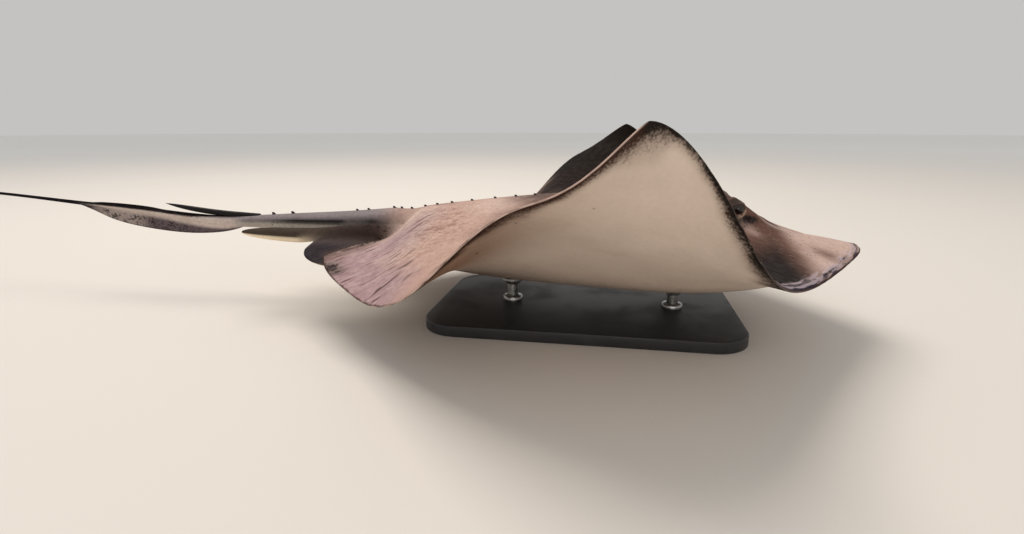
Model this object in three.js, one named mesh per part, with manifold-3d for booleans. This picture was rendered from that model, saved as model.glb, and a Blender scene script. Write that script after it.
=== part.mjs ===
// A male southern stingray, life size, as a still display model on a small stand.
// Millimetres, +X to the snout, +Y to the animal's left, +Z up. The origin is the
// middle of the stand's underside. The disc is a sheet bent about the body, given
// by a plan outline, a slope across each fin and a thickness above and below.

import * as THREE from 'three';
import { mergeVertices } from 'three/addons/utils/BufferGeometryUtils.js';
import Module from 'manifold-3d';

const wasm = await Module();
wasm.setup();

// ---- Driving dimensions ------------------------------------------------------

const DISC_WIDTH = 650;
const DISC_LENGTH = 536;
const HALF_WIDTH = DISC_WIDTH / 2;
const SNOUT_X = 270;
const REAR_X = SNOUT_X - DISC_LENGTH;
const TIP_X = 43; // widest point of the disc
const REAR_CORNER_Y = 79; // half the distance between the two rear lobes
const CLOACA_X = -214;
const MID_HEIGHT = 85; // the disc's middle sheet above the floor
const GAP = 0.3; // cut between neighbouring pieces

const RIM_HALF = 0.9; // half thickness of the fin's edge
const FIN_ROOT_HALF = 9.5; // half thickness the fins add towards the body

// How each fin bends across the body, in radians and millimetres: a wave that is
// highest at crestX and low ahead of and behind it, and a tip curled up at curlX.
const BEND = { lowAhead: -0.07, lowBehind: -0.242, rootWidth: 106, curlStart: 188 };
const REAR_BEND = { rootWidth: 50, startX: -120, length: 90 };
const RIGHT_FIN = { crestX: -21, ahead: 283, behind: 173, crest: 0.306,
  curl: 1.25, curlX: 71, curlLength: 53, curlPower: 1.14 };
const LEFT_FIN = { crestX: -19, ahead: 281, behind: 158, crest: 0.314,
  curl: 1.2, curlX: 76, curlLength: 62, curlPower: 1.17 };

// Height of the back and depth of the belly on the midline, by distance forward.
const RIDGE = [[-266, 15], [-216, 22], [-150, 33], [-75, 42], [0, 48], [60, 49],
  [105, 45], [140, 38], [160, 31], [180, 22], [200, 15], [225, 9], [250, 5], [270, 3]];
const BELLY = [[-266, 7], [-225, 15], [-170, 31], [-90, 41], [0, 45], [100, 46],
  [150, 42], [185, 36], [215, 26], [240, 14], [260, 6], [270, 3]];
const BACK_SPREAD = [[-266, 26], [-200, 46], [-100, 78], [20, 92], [110, 84],
  [180, 66], [270, 34]];
const BELLY_SPREAD = [[-266, 34], [-190, 62], [-60, 104], [60, 116], [150, 98],
  [210, 66], [270, 34]];

const EYE = { x: 143, y: 42, z: 40.5, radius: 8.5 };
const ORBIT = { x: 139, y: 38, length: 19, width: 13, height: 17 };
const SPIRACLE = { x: 113, y: 47, length: 10, width: 7, depth: 9 };

// The tail, by distance forward: height of its middle, half width, half height.
const TAIL_LINE = [[-150, 6], [-216, 8.5], [-266, 7.5], [-342, 6.5], [-394, 5.8],
  [-430, 5.6], [-475, 8.8], [-535, 14.8], [-631, 22.4], [-753, 32.2], [-1000, 47],
  [-1200, 55], [-1366, 57]];
const TAIL_HALF_WIDTH = [[-150, 18], [-216, 20], [-266, 17], [-342, 11.5],
  [-394, 8.6], [-475, 5.6], [-535, 4.3], [-631, 2.7], [-753, 2], [-1000, 1.5],
  [-1366, 0.7]];
const TAIL_HALF_HEIGHT = [[-150, 12], [-216, 13], [-266, 11.8], [-342, 9.3],
  [-394, 7.2], [-475, 4.9], [-535, 3.9], [-631, 2.4], [-753, 1.7], [-1000, 1.4],
  [-1366, 0.7]];
const TAIL_DRIFT = [[-760, 0], [-1000, 9], [-1200, 26], [-1366, 48]];
const TAIL_TIP_X = -1366;

const FOLD = { frontX: -400, rearX: -634, half: 0.9 };
const FOLD_DEPTH = [[-634, 2], [-616, 7.5], [-589, 16], [-558, 20.5], [-518, 22],
  [-475, 19.5], [-433, 13], [-400, 4]];
const KEEL = { frontX: -520, rearX: -612, height: 2.2, half: 0.8 };
const STING = { baseX: -386, tipX: -513, z: 12.9, lift: 12.4, half: 3.9, thick: 2.5 };
const THORN_XS = [-55, -76, -99, -125, -148, -165, -179, -195, -207, -216, -247,
  -261, -342, -367];
const THORN = { length: 8, half: 2.4, height: 2.8, sunk: 2.5 };

const PELVIC = {
  rootX: -216,
  innerY: 27,
  tipX: -284,
  tipY: 81,
  half: 2.4,
  z: -10, // at the reference point below
  refX: -232,
  refY: 50,
  droop: 0.38,
  rise: 0.09,
};
const CLASPER = { rootX: -232, rootY: 31, tipX: -377, tipY: 50, half: 8.6, z: -6, rise: 9 };

const HEAD_REAR_X = 62;
const TRUNK_REAR_X = -240;
const TAIL_CUTS = [-380, -640, -905];
const CORE_FRONT = { x: 290, half: 12 };
const CORE_WIDE = { x: 70, half: 84 };
const CORE_REAR = { x: -250, half: 34 };

const BASE = { length: 320, width: 200, thick: 12, corner: 36, bevel: 1.5 };
const ROD = { radius: 6, xs: [95, -80], padRadius: 15, padThick: 4 };

const ROWS = 38;
const COLUMNS = 10;
const BEND_STEPS = 20;

// ---- Finishes ----------------------------------------------------------------

const finish = (color, roughness, metalness = 0) =>
  new THREE.MeshStandardMaterial({ color, roughness, metalness });

const FINISH = {
  back: finish(0x9a857c, 0.55),
  fin: finish(0xa8988c, 0.55),
  pelvic: finish(0x6d6470, 0.5),
  clasper: finish(0xb9ad9a, 0.5),
  tail: finish(0x7d7278, 0.55),
  whip: finish(0x2c2630, 0.5),
  sting: finish(0x4a4142, 0.45),
  eye: finish(0x120f10, 0.12),
  base: finish(0x2b2b2d, 0.5),
  rod: finish(0xb8b8ba, 0.3, 0.9),
};

// ---- Curves and the bent sheet -----------------------------------------------

const clamp01 = (value) => Math.min(Math.max(value, 0), 1);
const smooth = (value) => clamp01(value) ** 2 * (3 - 2 * clamp01(value));

/** A smooth curve through [x, value] points, flat beyond its two ends. */
function through(points) {
  const knots = [...points].sort((a, b) => a[0] - b[0]);
  const slope = (i) => {
    const before = knots[Math.max(i - 1, 0)];
    const after = knots[Math.min(i + 1, knots.length - 1)];
    return (after[1] - before[1]) / (after[0] - before[0]);
  };
  return (x) => {
    if (x <= knots[0][0]) return knots[0][1];
    if (x >= knots[knots.length - 1][0]) return knots[knots.length - 1][1];
    const i = knots.findIndex((knot) => knot[0] > x) - 1;
    const width = knots[i + 1][0] - knots[i][0];
    const t = (x - knots[i][0]) / width;
    return knots[i][1] * (1 + 2 * t) * (1 - t) ** 2
      + knots[i + 1][1] * t * t * (3 - 2 * t)
      + width * (slope(i) * t * (1 - t) ** 2 - slope(i + 1) * t * t * (1 - t));
  };
}

const ridgeAt = through(RIDGE);
const bellyAt = through(BELLY);
const backSpreadAt = through(BACK_SPREAD);
const bellySpreadAt = through(BELLY_SPREAD);
const tailLineAt = through(TAIL_LINE);
const tailWidthAt = through(TAIL_HALF_WIDTH);
const tailHeightAt = through(TAIL_HALF_HEIGHT);
const tailDriftAt = through(TAIL_DRIFT);
const foldDepthAt = through(FOLD_DEPTH);

/** A Bezier curve of any degree through its first and last control point. */
function bezier(controls, t) {
  let points = controls;
  while (points.length > 1) {
    points = points.slice(1).map((point, i) => [
      points[i][0] + (point[0] - points[i][0]) * t,
      points[i][1] + (point[1] - points[i][1]) * t,
    ]);
  }
  return points[0];
}

const LEADING_EDGE = [[SNOUT_X, 0], [SNOUT_X - 2, 45], [SNOUT_X - 75, 118],
  [SNOUT_X - 125, 208], [TIP_X + 105, 265], [TIP_X + 13, HALF_WIDTH - 3],
  [TIP_X, HALF_WIDTH]];
const TRAILING_EDGE = [[TIP_X, HALF_WIDTH], [TIP_X - 16, HALF_WIDTH - 3],
  [TIP_X - 85, 269], [TIP_X - 150, 261], [REAR_X + 87, 140], [REAR_X + 12, 138],
  [REAR_X + 14, REAR_CORNER_Y + 23], [REAR_X, REAR_CORNER_Y]];
const INNER_EDGE = [[REAR_X, REAR_CORNER_Y], [REAR_X + 17, REAR_CORNER_Y + 1],
  [REAR_X + 71, 52], [REAR_X + 42, 0]];
const EDGE_SHARES = [0.43, 0.44, 0.13]; // of the outline's length, snout to tail
const DISC_END_X = INNER_EDGE[INNER_EDGE.length - 1][0];

/** The disc's outline in plan at t = 0 (snout) to 1 (tail), as [x, distance out]. */
function outline(t) {
  if (t < EDGE_SHARES[0]) return bezier(LEADING_EDGE, t / EDGE_SHARES[0]);
  if (t < EDGE_SHARES[0] + EDGE_SHARES[1]) {
    return bezier(TRAILING_EDGE, (t - EDGE_SHARES[0]) / EDGE_SHARES[1]);
  }
  return bezier(INNER_EDGE, (t - EDGE_SHARES[0] - EDGE_SHARES[1]) / EDGE_SHARES[2]);
}

/** Slope of a fin across the body at x forward and s out along the sheet. */
function slope(fin, x, s) {
  const along = x - fin.crestX;
  const low = along > 0 ? BEND.lowAhead : BEND.lowBehind;
  const reach = along > 0 ? fin.ahead : fin.behind;
  const rise = (1 + Math.cos(Math.PI * Math.min(Math.abs(along) / reach, 1))) / 2;
  const rearward = smooth((REAR_BEND.startX - x) / REAR_BEND.length);
  const root = THREE.MathUtils.lerp(BEND.rootWidth, REAR_BEND.rootWidth, rearward);
  const wave = (low + (fin.crest - low) * rise) * smooth(s / root);
  const out = clamp01((s - BEND.curlStart) / (HALF_WIDTH - BEND.curlStart));
  const near = Math.exp(-(((x - fin.curlX) / fin.curlLength) ** 2));
  return wave + fin.curl * near * out ** fin.curlPower;
}

/** Point of a fin's middle sheet, with y counted outwards. */
function sheet(fin, x, s) {
  const step = s / BEND_STEPS;
  let y = 0;
  let z = 0;
  for (let i = 0; i < BEND_STEPS; i += 1) {
    const angle = slope(fin, x, (i + 0.5) * step);
    y += Math.cos(angle) * step;
    z += Math.sin(angle) * step;
  }
  return new THREE.Vector3(x, y, z);
}

/** Unit normal of a fin's middle sheet, facing up. */
function sheetNormal(fin, x, s) {
  const d = 1;
  const alongX = sheet(fin, x + d, s).sub(sheet(fin, x - d, s));
  const outward = sheet(fin, x, s + d).sub(sheet(fin, x, Math.max(s - d, 0)));
  return alongX.cross(outward).normalize();
}

const bump = (x, s, spot) =>
  Math.exp(-(((x - spot.x) / spot.length) ** 2) - ((s - spot.y) / spot.width) ** 2);

/** Height of the back over the sheet; u runs from 0 on the midline to 1 at the rim. */
function backHeight(x, s, u) {
  const root = Math.min(FIN_ROOT_HALF, ridgeAt(x) * 0.6);
  const skirt = RIM_HALF + root * (1 - u * u);
  const hump = (ridgeAt(x) - RIM_HALF - root) * Math.exp(-((s / backSpreadAt(x)) ** 2));
  const orbit = ORBIT.height * bump(x, s, ORBIT);
  const spiracle = SPIRACLE.depth * bump(x, s, SPIRACLE);
  return skirt + hump + orbit - spiracle;
}

/** Depth of the belly below the sheet. */
function bellyDepth(x, s, u) {
  const root = Math.min(FIN_ROOT_HALF * 0.7, bellyAt(x) * 0.5);
  const skirt = RIM_HALF + root * (1 - u * u);
  const keel = (bellyAt(x) - RIM_HALF - root) * Math.exp(-((s / bellySpreadAt(x)) ** 3));
  return skirt + keel;
}

// ---- Solids ------------------------------------------------------------------

/** A closed solid from rings of points with a pole at each end. */
function loft(rings, firstPole, lastPole) {
  const count = rings[0].length;
  const points = [firstPole, ...rings.flat(), lastPole];
  const faces = [];
  const at = (row, k) => 1 + row * count + (k % count);
  for (let k = 0; k < count; k += 1) {
    faces.push(0, at(0, k + 1), at(0, k));
    faces.push(points.length - 1, at(rings.length - 1, k), at(rings.length - 1, k + 1));
    for (let row = 0; row < rings.length - 1; row += 1) {
      faces.push(at(row, k), at(row, k + 1), at(row + 1, k + 1));
      faces.push(at(row, k), at(row + 1, k + 1), at(row + 1, k));
    }
  }
  return solidFrom(points.flatMap((p) => [p.x, p.y, p.z]), faces);
}

/** A manifold solid from flat coordinates and faces, turned to face out. */
function solidFrom(coordinates, faces) {
  let volume = 0;
  const corner = (i) => new THREE.Vector3().fromArray(coordinates, faces[i] * 3);
  for (let i = 0; i < faces.length; i += 3) {
    volume += corner(i).dot(corner(i + 1).cross(corner(i + 2)));
  }
  const outward = volume > 0 ? faces : [...faces].reverse();
  return new wasm.Manifold(new wasm.Mesh({
    numProp: 3,
    vertProperties: new Float32Array(coordinates),
    triVerts: new Uint32Array(outward),
  }));
}

/** A manifold solid from a three.js geometry. */
function solidOf(geometry) {
  const bare = geometry.clone();
  bare.deleteAttribute('normal');
  bare.deleteAttribute('uv');
  const merged = mergeVertices(bare, 1e-4);
  return solidFrom([...merged.attributes.position.array], [...merged.index.array]);
}

/** A solid made larger all round by the cut's width: copies moved each way, joined. */
function thickened(solid) {
  const { vertProperties, triVerts } = solid.getMesh();
  let whole = solid;
  for (const axis of [0, 1, 2]) {
    for (const move of [GAP, -GAP]) {
      const moved = vertProperties.map((value, i) => (i % 3 === axis ? value + move : value));
      whole = whole.add(solidFrom([...moved], [...triVerts]));
    }
  }
  return whole;
}

const placed = (x, y, z) => new THREE.Vector3(x, y, z + MID_HEIGHT);

/** One side's points across the disc at row t, from the midline to the rim. */
function halfRow(fin, side, t) {
  const [edgeX, edgeS] = outline(t);
  const middleX = THREE.MathUtils.lerp(SNOUT_X, DISC_END_X, t);
  const row = { high: [], low: [] };
  for (let k = 0; k <= COLUMNS; k += 1) {
    const u = k / COLUMNS;
    const x = THREE.MathUtils.lerp(middleX, edgeX, u);
    const s = edgeS * u;
    const normal = sheetNormal(fin, x, s);
    const high = sheet(fin, x, s).addScaledVector(normal, backHeight(x, s, u));
    const low = sheet(fin, x, s).addScaledVector(normal, -bellyDepth(x, s, u));
    row.high.push(placed(high.x, side * high.y, high.z));
    row.low.push(placed(low.x, side * low.y, low.z));
  }
  return row;
}

/** The whole disc. */
function disc() {
  const rings = [];
  for (let i = 1; i < ROWS; i += 1) {
    const left = halfRow(LEFT_FIN, 1, i / ROWS);
    const right = halfRow(RIGHT_FIN, -1, i / ROWS);
    rings.push([...right.high.reverse(), ...left.high.slice(1),
      ...left.low.reverse(), ...right.low.slice(1)]);
  }
  return loft(rings, placed(SNOUT_X, 0, 0), placed(DISC_END_X, 0, 0));
}

/** An upright ellipse of points about the tail's line at x. */
function tailRing(x, sides) {
  const ring = [];
  for (let k = 0; k < sides; k += 1) {
    const angle = (2 * Math.PI * k) / sides;
    ring.push(placed(
      x,
      tailDriftAt(x) + tailWidthAt(x) * Math.cos(angle),
      tailLineAt(x) + tailHeightAt(x) * Math.sin(angle),
    ));
  }
  return ring;
}

/** The tail from inside the trunk to its tip. */
function tail() {
  const rings = [];
  let x = -150;
  while (x > TAIL_TIP_X + 6) {
    rings.push(tailRing(x, 10));
    x -= x > -660 ? 22 : 46;
  }
  const rootPole = placed(-146, 0, tailLineAt(-150));
  const tipPole = placed(TAIL_TIP_X, tailDriftAt(TAIL_TIP_X), tailLineAt(TAIL_TIP_X));
  return loft(rings, rootPole, tipPole);
}

/** A thin fold standing from the tail's middle line, down or up by reach(x). */
function tailBlade(frontX, rearX, half, reach, steps) {
  const rings = [];
  for (let i = 1; i < steps; i += 1) {
    const x = THREE.MathUtils.lerp(frontX, rearX, i / steps);
    const z = tailLineAt(x);
    const end = z + reach(x);
    const round = Math.sign(reach(x)) * half;
    rings.push([placed(x, half, z), placed(x, half, end - round), placed(x, 0, end),
      placed(x, -half, end - round), placed(x, -half, z)]);
  }
  return loft(rings, placed(frontX, 0, tailLineAt(frontX)),
    placed(rearX, 0, tailLineAt(rearX)));
}

/** How far the skin fold under the tail hangs below the tail's middle. */
const foldReach = (x) => -foldDepthAt(x);

/** Height of the low keel on the tail behind the sting. */
function keelReach(x) {
  const along = clamp01((KEEL.frontX - x) / (KEEL.frontX - KEEL.rearX));
  return tailHeightAt(x) + KEEL.height * Math.sin(Math.PI * along) ** 0.7;
}

/** One thorn of the midline row: a low cone raked back. */
function thorn(x) {
  const deep = Math.max(ridgeAt(x), x < CLOACA_X ? tailLineAt(x) + tailHeightAt(x) : 0);
  const scale = x < -330 ? 1.35 : 1;
  const base = deep - THORN.sunk;
  const ring = [];
  for (let k = 0; k < 6; k += 1) {
    const angle = (Math.PI * k) / 3;
    ring.push(placed(x + (THORN.length / 2) * scale * Math.cos(angle),
      THORN.half * scale * Math.sin(angle), base));
  }
  const tip = placed(x - THORN.length * 0.45 * scale, 0, deep + THORN.height * scale);
  return loft([ring], placed(x, 0, base - 0.5), tip);
}

/** The sting, a flat serrated spine that tapers to a point. */
function sting(grow = 0) {
  const rings = [];
  const steps = 12;
  for (let i = 0; i < steps; i += 1) {
    const along = i / steps;
    const x = THREE.MathUtils.lerp(STING.baseX, STING.tipX, along);
    const taper = Math.min(1, 0.72 + along * 2) * (1 - along ** 3);
    const tooth = i % 2 === 0 ? 1 : 0.86;
    const half = STING.half * taper * tooth + grow;
    const thick = STING.thick * taper + grow;
    const z = stingLine(x);
    rings.push([placed(x, half, z), placed(x, half * 0.45, z + thick),
      placed(x, -half * 0.45, z + thick), placed(x, -half, z),
      placed(x, -half * 0.4, z - thick * 0.7), placed(x, half * 0.4, z - thick * 0.7)]);
  }
  return loft(rings, placed(STING.baseX + 1, 0, stingLine(STING.baseX)),
    placed(STING.tipX, 0, stingLine(STING.tipX)));
}

/** Height of the sting's middle: it lies on the tail and lifts towards its tip. */
function stingLine(x) {
  const along = clamp01((STING.baseX - x) / (STING.baseX - STING.tipX));
  return STING.z + STING.lift * along * along;
}

/** Height of a pelvic fin's middle: it droops outwards and rises to the rear. */
const pelvicLine = (x, y) =>
  PELVIC.z - PELVIC.droop * (y - PELVIC.refY) + PELVIC.rise * (PELVIC.refX - x);

/** One pelvic fin, a rounded lobe beside the tail's root; side is 1 or -1. */
function pelvicFin(side) {
  const endX = PELVIC.tipX + 18;
  const front = [[PELVIC.rootX, PELVIC.innerY], [PELVIC.rootX - 6, 62],
    [PELVIC.rootX - 18, PELVIC.tipY + 12], [PELVIC.tipX + 26, PELVIC.tipY + 17],
    [PELVIC.tipX, PELVIC.tipY]];
  const rear = [[PELVIC.tipX, PELVIC.tipY], [PELVIC.tipX - 15, PELVIC.tipY - 12],
    [PELVIC.tipX - 14, 44], [PELVIC.tipX + 4, 34], [endX, PELVIC.innerY]];
  const across = [0, 0.35, 0.7, 0.9, 1, 0.9, 0.7, 0.35, 0];
  const middle = (across.length - 1) / 2;
  const rings = [];
  const steps = 14;
  for (let i = 1; i < steps; i += 1) {
    const t = i / steps;
    const [edgeX, edgeY] = t < 0.55 ? bezier(front, t / 0.55)
      : bezier(rear, (t - 0.55) / 0.45);
    const rootX = THREE.MathUtils.lerp(PELVIC.rootX, endX, t);
    rings.push(across.map((u, k) => {
      const x = THREE.MathUtils.lerp(rootX, edgeX, u);
      const y = THREE.MathUtils.lerp(PELVIC.innerY, edgeY, u);
      const half = PELVIC.half * (1.6 - u) * Math.sin(Math.PI * t) ** 0.3;
      return placed(x, side * y, pelvicLine(x, y) + Math.sign(middle - k) * half);
    }));
  }
  const end = (x) => placed(x, side * PELVIC.innerY, pelvicLine(x, PELVIC.innerY));
  return loft(rings, end(PELVIC.rootX), end(endX));
}

/** One clasper, a tapering rod with a rounded end beside the tail. */
function clasper(side, grow = 0) {
  const rings = [];
  const steps = 12;
  for (let i = 0; i <= steps; i += 1) {
    const t = i / steps;
    const x = THREE.MathUtils.lerp(CLASPER.rootX, CLASPER.tipX + 5, t);
    const y = THREE.MathUtils.lerp(CLASPER.rootY, CLASPER.tipY, t);
    const half = CLASPER.half * (0.82 + 0.28 * Math.sin(Math.PI * t ** 1.4))
      * Math.sqrt(1 - 0.75 * t ** 6) + grow;
    const ring = [];
    for (let k = 0; k < 10; k += 1) {
      const angle = (2 * Math.PI * k) / 10;
      ring.push(placed(x, side * (y + half * Math.cos(angle)),
        CLASPER.z + CLASPER.rise * t + half * 0.86 * Math.sin(angle)));
    }
    rings.push(ring);
  }
  return loft(rings, placed(CLASPER.rootX + 4 + grow, side * CLASPER.rootY, CLASPER.z),
    placed(CLASPER.tipX - grow, side * CLASPER.tipY, CLASPER.z + CLASPER.rise));
}

/** An eyeball, or the socket for one when grown. */
function eyeball(side, grow = 0) {
  const ball = new THREE.SphereGeometry(EYE.radius + grow, 12, 8);
  ball.translate(EYE.x, side * EYE.y, EYE.z + MID_HEIGHT);
  return solidOf(ball);
}

/** An upright prism on a plan outline, from well below to well above the animal. */
function prism(corners) {
  const shape = new THREE.Shape(corners.map(([x, y]) => new THREE.Vector2(x, y)));
  return solidOf(new THREE.ExtrudeGeometry(shape, { depth: 400, bevelEnabled: false })
    .translate(0, 0, -100));
}

const rightOf = (corners) => corners.map(([x, y]) => [x, -y]).reverse();

/** The plan of the middle body between two distances forward, drawn in by inset. */
function corePlan(frontX, rearX, inset) {
  const half = (x) => (x > CORE_WIDE.x
    ? THREE.MathUtils.mapLinear(x, CORE_WIDE.x, CORE_FRONT.x, CORE_WIDE.half, CORE_FRONT.half)
    : THREE.MathUtils.mapLinear(x, CORE_REAR.x, CORE_WIDE.x, CORE_REAR.half, CORE_WIDE.half));
  const stops = [frontX, CORE_WIDE.x, rearX].filter((x) => x <= frontX && x >= rearX);
  const left = stops.map((x) => [x, half(x) - inset]);
  return [...left, ...rightOf(left)];
}

/** The plan of the left fin, outside the middle body by inset. */
function finPlan(inset) {
  const wide = HALF_WIDTH + 30;
  return [[CORE_FRONT.x, CORE_FRONT.half + inset], [CORE_FRONT.x, wide],
    [REAR_X - 40, wide], [REAR_X - 40, CORE_REAR.half + inset],
    [CORE_REAR.x, CORE_REAR.half + inset], [CORE_WIDE.x, CORE_WIDE.half + inset]];
}

/** The plan of a stretch of tail between two distances forward, clear of the fins. */
const tailPlan = (frontX, rearX, half) =>
  [[frontX, -half], [frontX, half], [rearX, half], [rearX, -half]];

// ---- Assembly ----------------------------------------------------------------

/** A three.js mesh from a manifold solid. */
function meshOf(name, solid, material) {
  const data = solid.getMesh();
  const geometry = new THREE.BufferGeometry();
  geometry.setAttribute('position', new THREE.BufferAttribute(
    new Float32Array(data.vertProperties), 3));
  geometry.setIndex(new THREE.BufferAttribute(new Uint32Array(data.triVerts), 1));
  geometry.computeVertexNormals();
  const mesh = new THREE.Mesh(geometry, material);
  mesh.name = name;
  return mesh;
}

/** The fleshy body in one: disc, tail, tail folds and thorns, with eye sockets. */
function flesh() {
  let body = disc().add(tail());
  body = body.add(tailBlade(FOLD.frontX, FOLD.rearX, FOLD.half, foldReach, 16));
  body = body.add(tailBlade(KEEL.frontX, KEEL.rearX, KEEL.half, keelReach, 8));
  for (const x of THORN_XS) body = body.add(thorn(x));
  for (const side of [1, -1]) body = body.subtract(eyeball(side, GAP));
  return body.subtract(sting(GAP));
}

/** The stand's flat base plate with rounded corners. */
function standBase() {
  const x = BASE.length / 2 - BASE.bevel;
  const y = BASE.width / 2 - BASE.bevel;
  const plate = new THREE.Shape();
  plate.absarc(x - BASE.corner, y - BASE.corner, BASE.corner, 0, Math.PI / 2);
  plate.absarc(-x + BASE.corner, y - BASE.corner, BASE.corner, Math.PI / 2, Math.PI);
  plate.absarc(-x + BASE.corner, -y + BASE.corner, BASE.corner, Math.PI, Math.PI * 1.5);
  plate.absarc(x - BASE.corner, -y + BASE.corner, BASE.corner, Math.PI * 1.5, Math.PI * 2);
  const geometry = new THREE.ExtrudeGeometry(plate, {
    depth: BASE.thick - 2 * BASE.bevel,
    bevelThickness: BASE.bevel,
    bevelSize: BASE.bevel,
    bevelSegments: 1,
    curveSegments: 6,
  });
  return solidOf(geometry.translate(0, 0, BASE.bevel));
}

/** One upright rod with a round pad that meets the belly above it. */
function standRod(x, body) {
  const top = MID_HEIGHT + 10;
  const rod = new THREE.CylinderGeometry(ROD.radius, ROD.radius, top - BASE.thick, 16);
  rod.rotateX(Math.PI / 2).translate(x, 0, (top + BASE.thick) / 2);
  const padLow = MID_HEIGHT - bellyAt(x) - ROD.padThick;
  const pad = new THREE.CylinderGeometry(ROD.padRadius, ROD.padRadius, top - padLow, 20);
  pad.rotateX(Math.PI / 2).translate(x, 0, (top + padLow) / 2);
  return solidOf(rod).add(solidOf(pad)).subtract(body);
}

const model = new THREE.Group();
const body = flesh();
const grown = thickened(body);
const half = GAP / 2;

const lengths = [TRUNK_REAR_X, ...TAIL_CUTS, TAIL_TIP_X - 20];
const TAIL_NAMES = ['tail_root', 'tail_middle', 'tail_whip_front', 'tail_whip_rear'];

model.add(meshOf('head',
  body.intersect(prism(corePlan(CORE_FRONT.x, HEAD_REAR_X + half, half))), FINISH.back));
model.add(meshOf('trunk',
  body.intersect(prism(corePlan(HEAD_REAR_X - half, TRUNK_REAR_X + half, half))), FINISH.back));
for (const [side, name] of [[1, 'left'], [-1, 'right']]) {
  const plan = side > 0 ? finPlan(half) : rightOf(finPlan(half));
  const pelvic = pelvicFin(side).subtract(grown).subtract(clasper(side, 2 * GAP));
  const rod = clasper(side).subtract(grown);
  model.add(meshOf(`pectoral_fin_${name}`, body.intersect(prism(plan)), FINISH.fin));
  model.add(meshOf(`pelvic_fin_${name}`, pelvic, FINISH.pelvic));
  model.add(meshOf(`clasper_${name}`, rod, FINISH.clasper));
  model.add(meshOf(`eye_${name}`, eyeball(side), FINISH.eye));
}
TAIL_NAMES.forEach((name, i) => {
  const wide = i === 0 ? CORE_REAR.half - half : HALF_WIDTH;
  const plan = tailPlan(lengths[i] - half, lengths[i + 1] + half, wide);
  model.add(meshOf(name, body.intersect(prism(plan)), i < 2 ? FINISH.tail : FINISH.whip));
});
model.add(meshOf('sting', sting(), FINISH.sting));
model.add(meshOf('stand_base', standBase(), FINISH.base));
ROD.xs.forEach((x, i) => {
  const name = i === 0 ? 'stand_rod_front' : 'stand_rod_rear';
  model.add(meshOf(name, standRod(x, grown), FINISH.rod));
});

export default model;
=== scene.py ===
"""A male southern stingray, life size, as a still display model on a small stand.

One skin covers the disc, the tail, the pelvic fins and the claspers. The eyes, the
thorns of the midline row, the sting and the stand are pieces of their own. Sizes are
in millimetres, +X to the snout, +Y to the animal's left, +Z up from the floor, and
become metres where a mesh is written.
"""

import logging
import math
from dataclasses import dataclass, field
from enum import Enum

import bmesh
import bpy
import numpy as np
from mathutils import Matrix, Vector
from mathutils.bvhtree import BVHTree


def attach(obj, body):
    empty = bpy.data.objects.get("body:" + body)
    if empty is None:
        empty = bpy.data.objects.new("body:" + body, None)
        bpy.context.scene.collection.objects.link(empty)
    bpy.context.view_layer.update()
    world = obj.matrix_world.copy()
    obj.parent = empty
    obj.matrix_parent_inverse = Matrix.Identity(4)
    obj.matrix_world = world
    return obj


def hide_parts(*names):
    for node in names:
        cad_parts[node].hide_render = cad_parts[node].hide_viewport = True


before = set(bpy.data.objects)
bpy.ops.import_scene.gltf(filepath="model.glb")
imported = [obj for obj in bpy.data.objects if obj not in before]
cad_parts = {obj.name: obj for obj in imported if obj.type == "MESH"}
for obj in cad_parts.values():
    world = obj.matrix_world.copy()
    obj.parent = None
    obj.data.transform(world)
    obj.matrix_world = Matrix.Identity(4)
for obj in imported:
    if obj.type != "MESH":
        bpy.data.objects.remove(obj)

logging.basicConfig(level=logging.INFO, format="%(message)s")
log = logging.getLogger("stingray")

MM = 0.001
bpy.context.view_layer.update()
MID_HEIGHT = 85.0  # the disc's middle sheet above the floor
HALF_WIDTH = 325.0
SNOUT_X = 270.0
REAR_X = -266.0
TIP_X = 43.0
DISC_END_X = REAR_X + 42

Pair = tuple[float, float]
Triple = tuple[float, float, float]
Knots = tuple[Pair, ...]
Hill = tuple[float, Pair, Pair]
Array = np.ndarray
Object = bpy.types.Object
Node = bpy.types.Node
NodeTree = bpy.types.NodeTree
Material = bpy.types.Material


class Side(Enum):
    """A side of the animal and the sign of its y."""

    LEFT = 1
    RIGHT = -1

    @property
    def word(self) -> str:
        """The side's name in lower case."""
        return self.name.lower()


class Part(Enum):
    """A part of the flesh, by the number kept on its points."""

    DISC = 0
    TAIL = 1
    PELVIC_FIN = 2
    CLASPER = 3


# ---- Curves --------------------------------------------------------------------


@dataclass(frozen=True)
class Profile:
    """A smooth curve through (x, value) knots, flat beyond its two ends."""

    knots: Knots

    def __call__(self, x: Array) -> Array:
        """The curve's value at x."""
        at, value = np.array(sorted(self.knots), float).T
        lower = np.maximum(np.arange(len(at)) - 1, 0)
        upper = np.minimum(np.arange(len(at)) + 1, len(at) - 1)
        slope = (value[upper] - value[lower]) / (at[upper] - at[lower])
        x = np.clip(np.asarray(x, float), at[0], at[-1])
        i = np.clip(np.searchsorted(at, x, side="right") - 1, 0, len(at) - 2)
        width = at[i + 1] - at[i]
        t = (x - at[i]) / width
        return (
            value[i] * (1 + 2 * t) * (1 - t) ** 2
            + value[i + 1] * t * t * (3 - 2 * t)
            + width * (slope[i] * t * (1 - t) ** 2 - slope[i + 1] * t * t * (1 - t))
        )


def bezier(controls: Knots, t: Array) -> Array:
    """A Bezier curve of any degree.

    Args:
        controls: Its control points.
        t: Places along it, 0 to 1.

    Returns:
        One point for each t.
    """
    points = [np.multiply.outer(np.ones_like(t), np.array(c, float)) for c in controls]
    while len(points) > 1:
        points = [a + (b - a) * t[:, None] for a, b in zip(points, points[1:])]
    return points[0]


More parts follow.
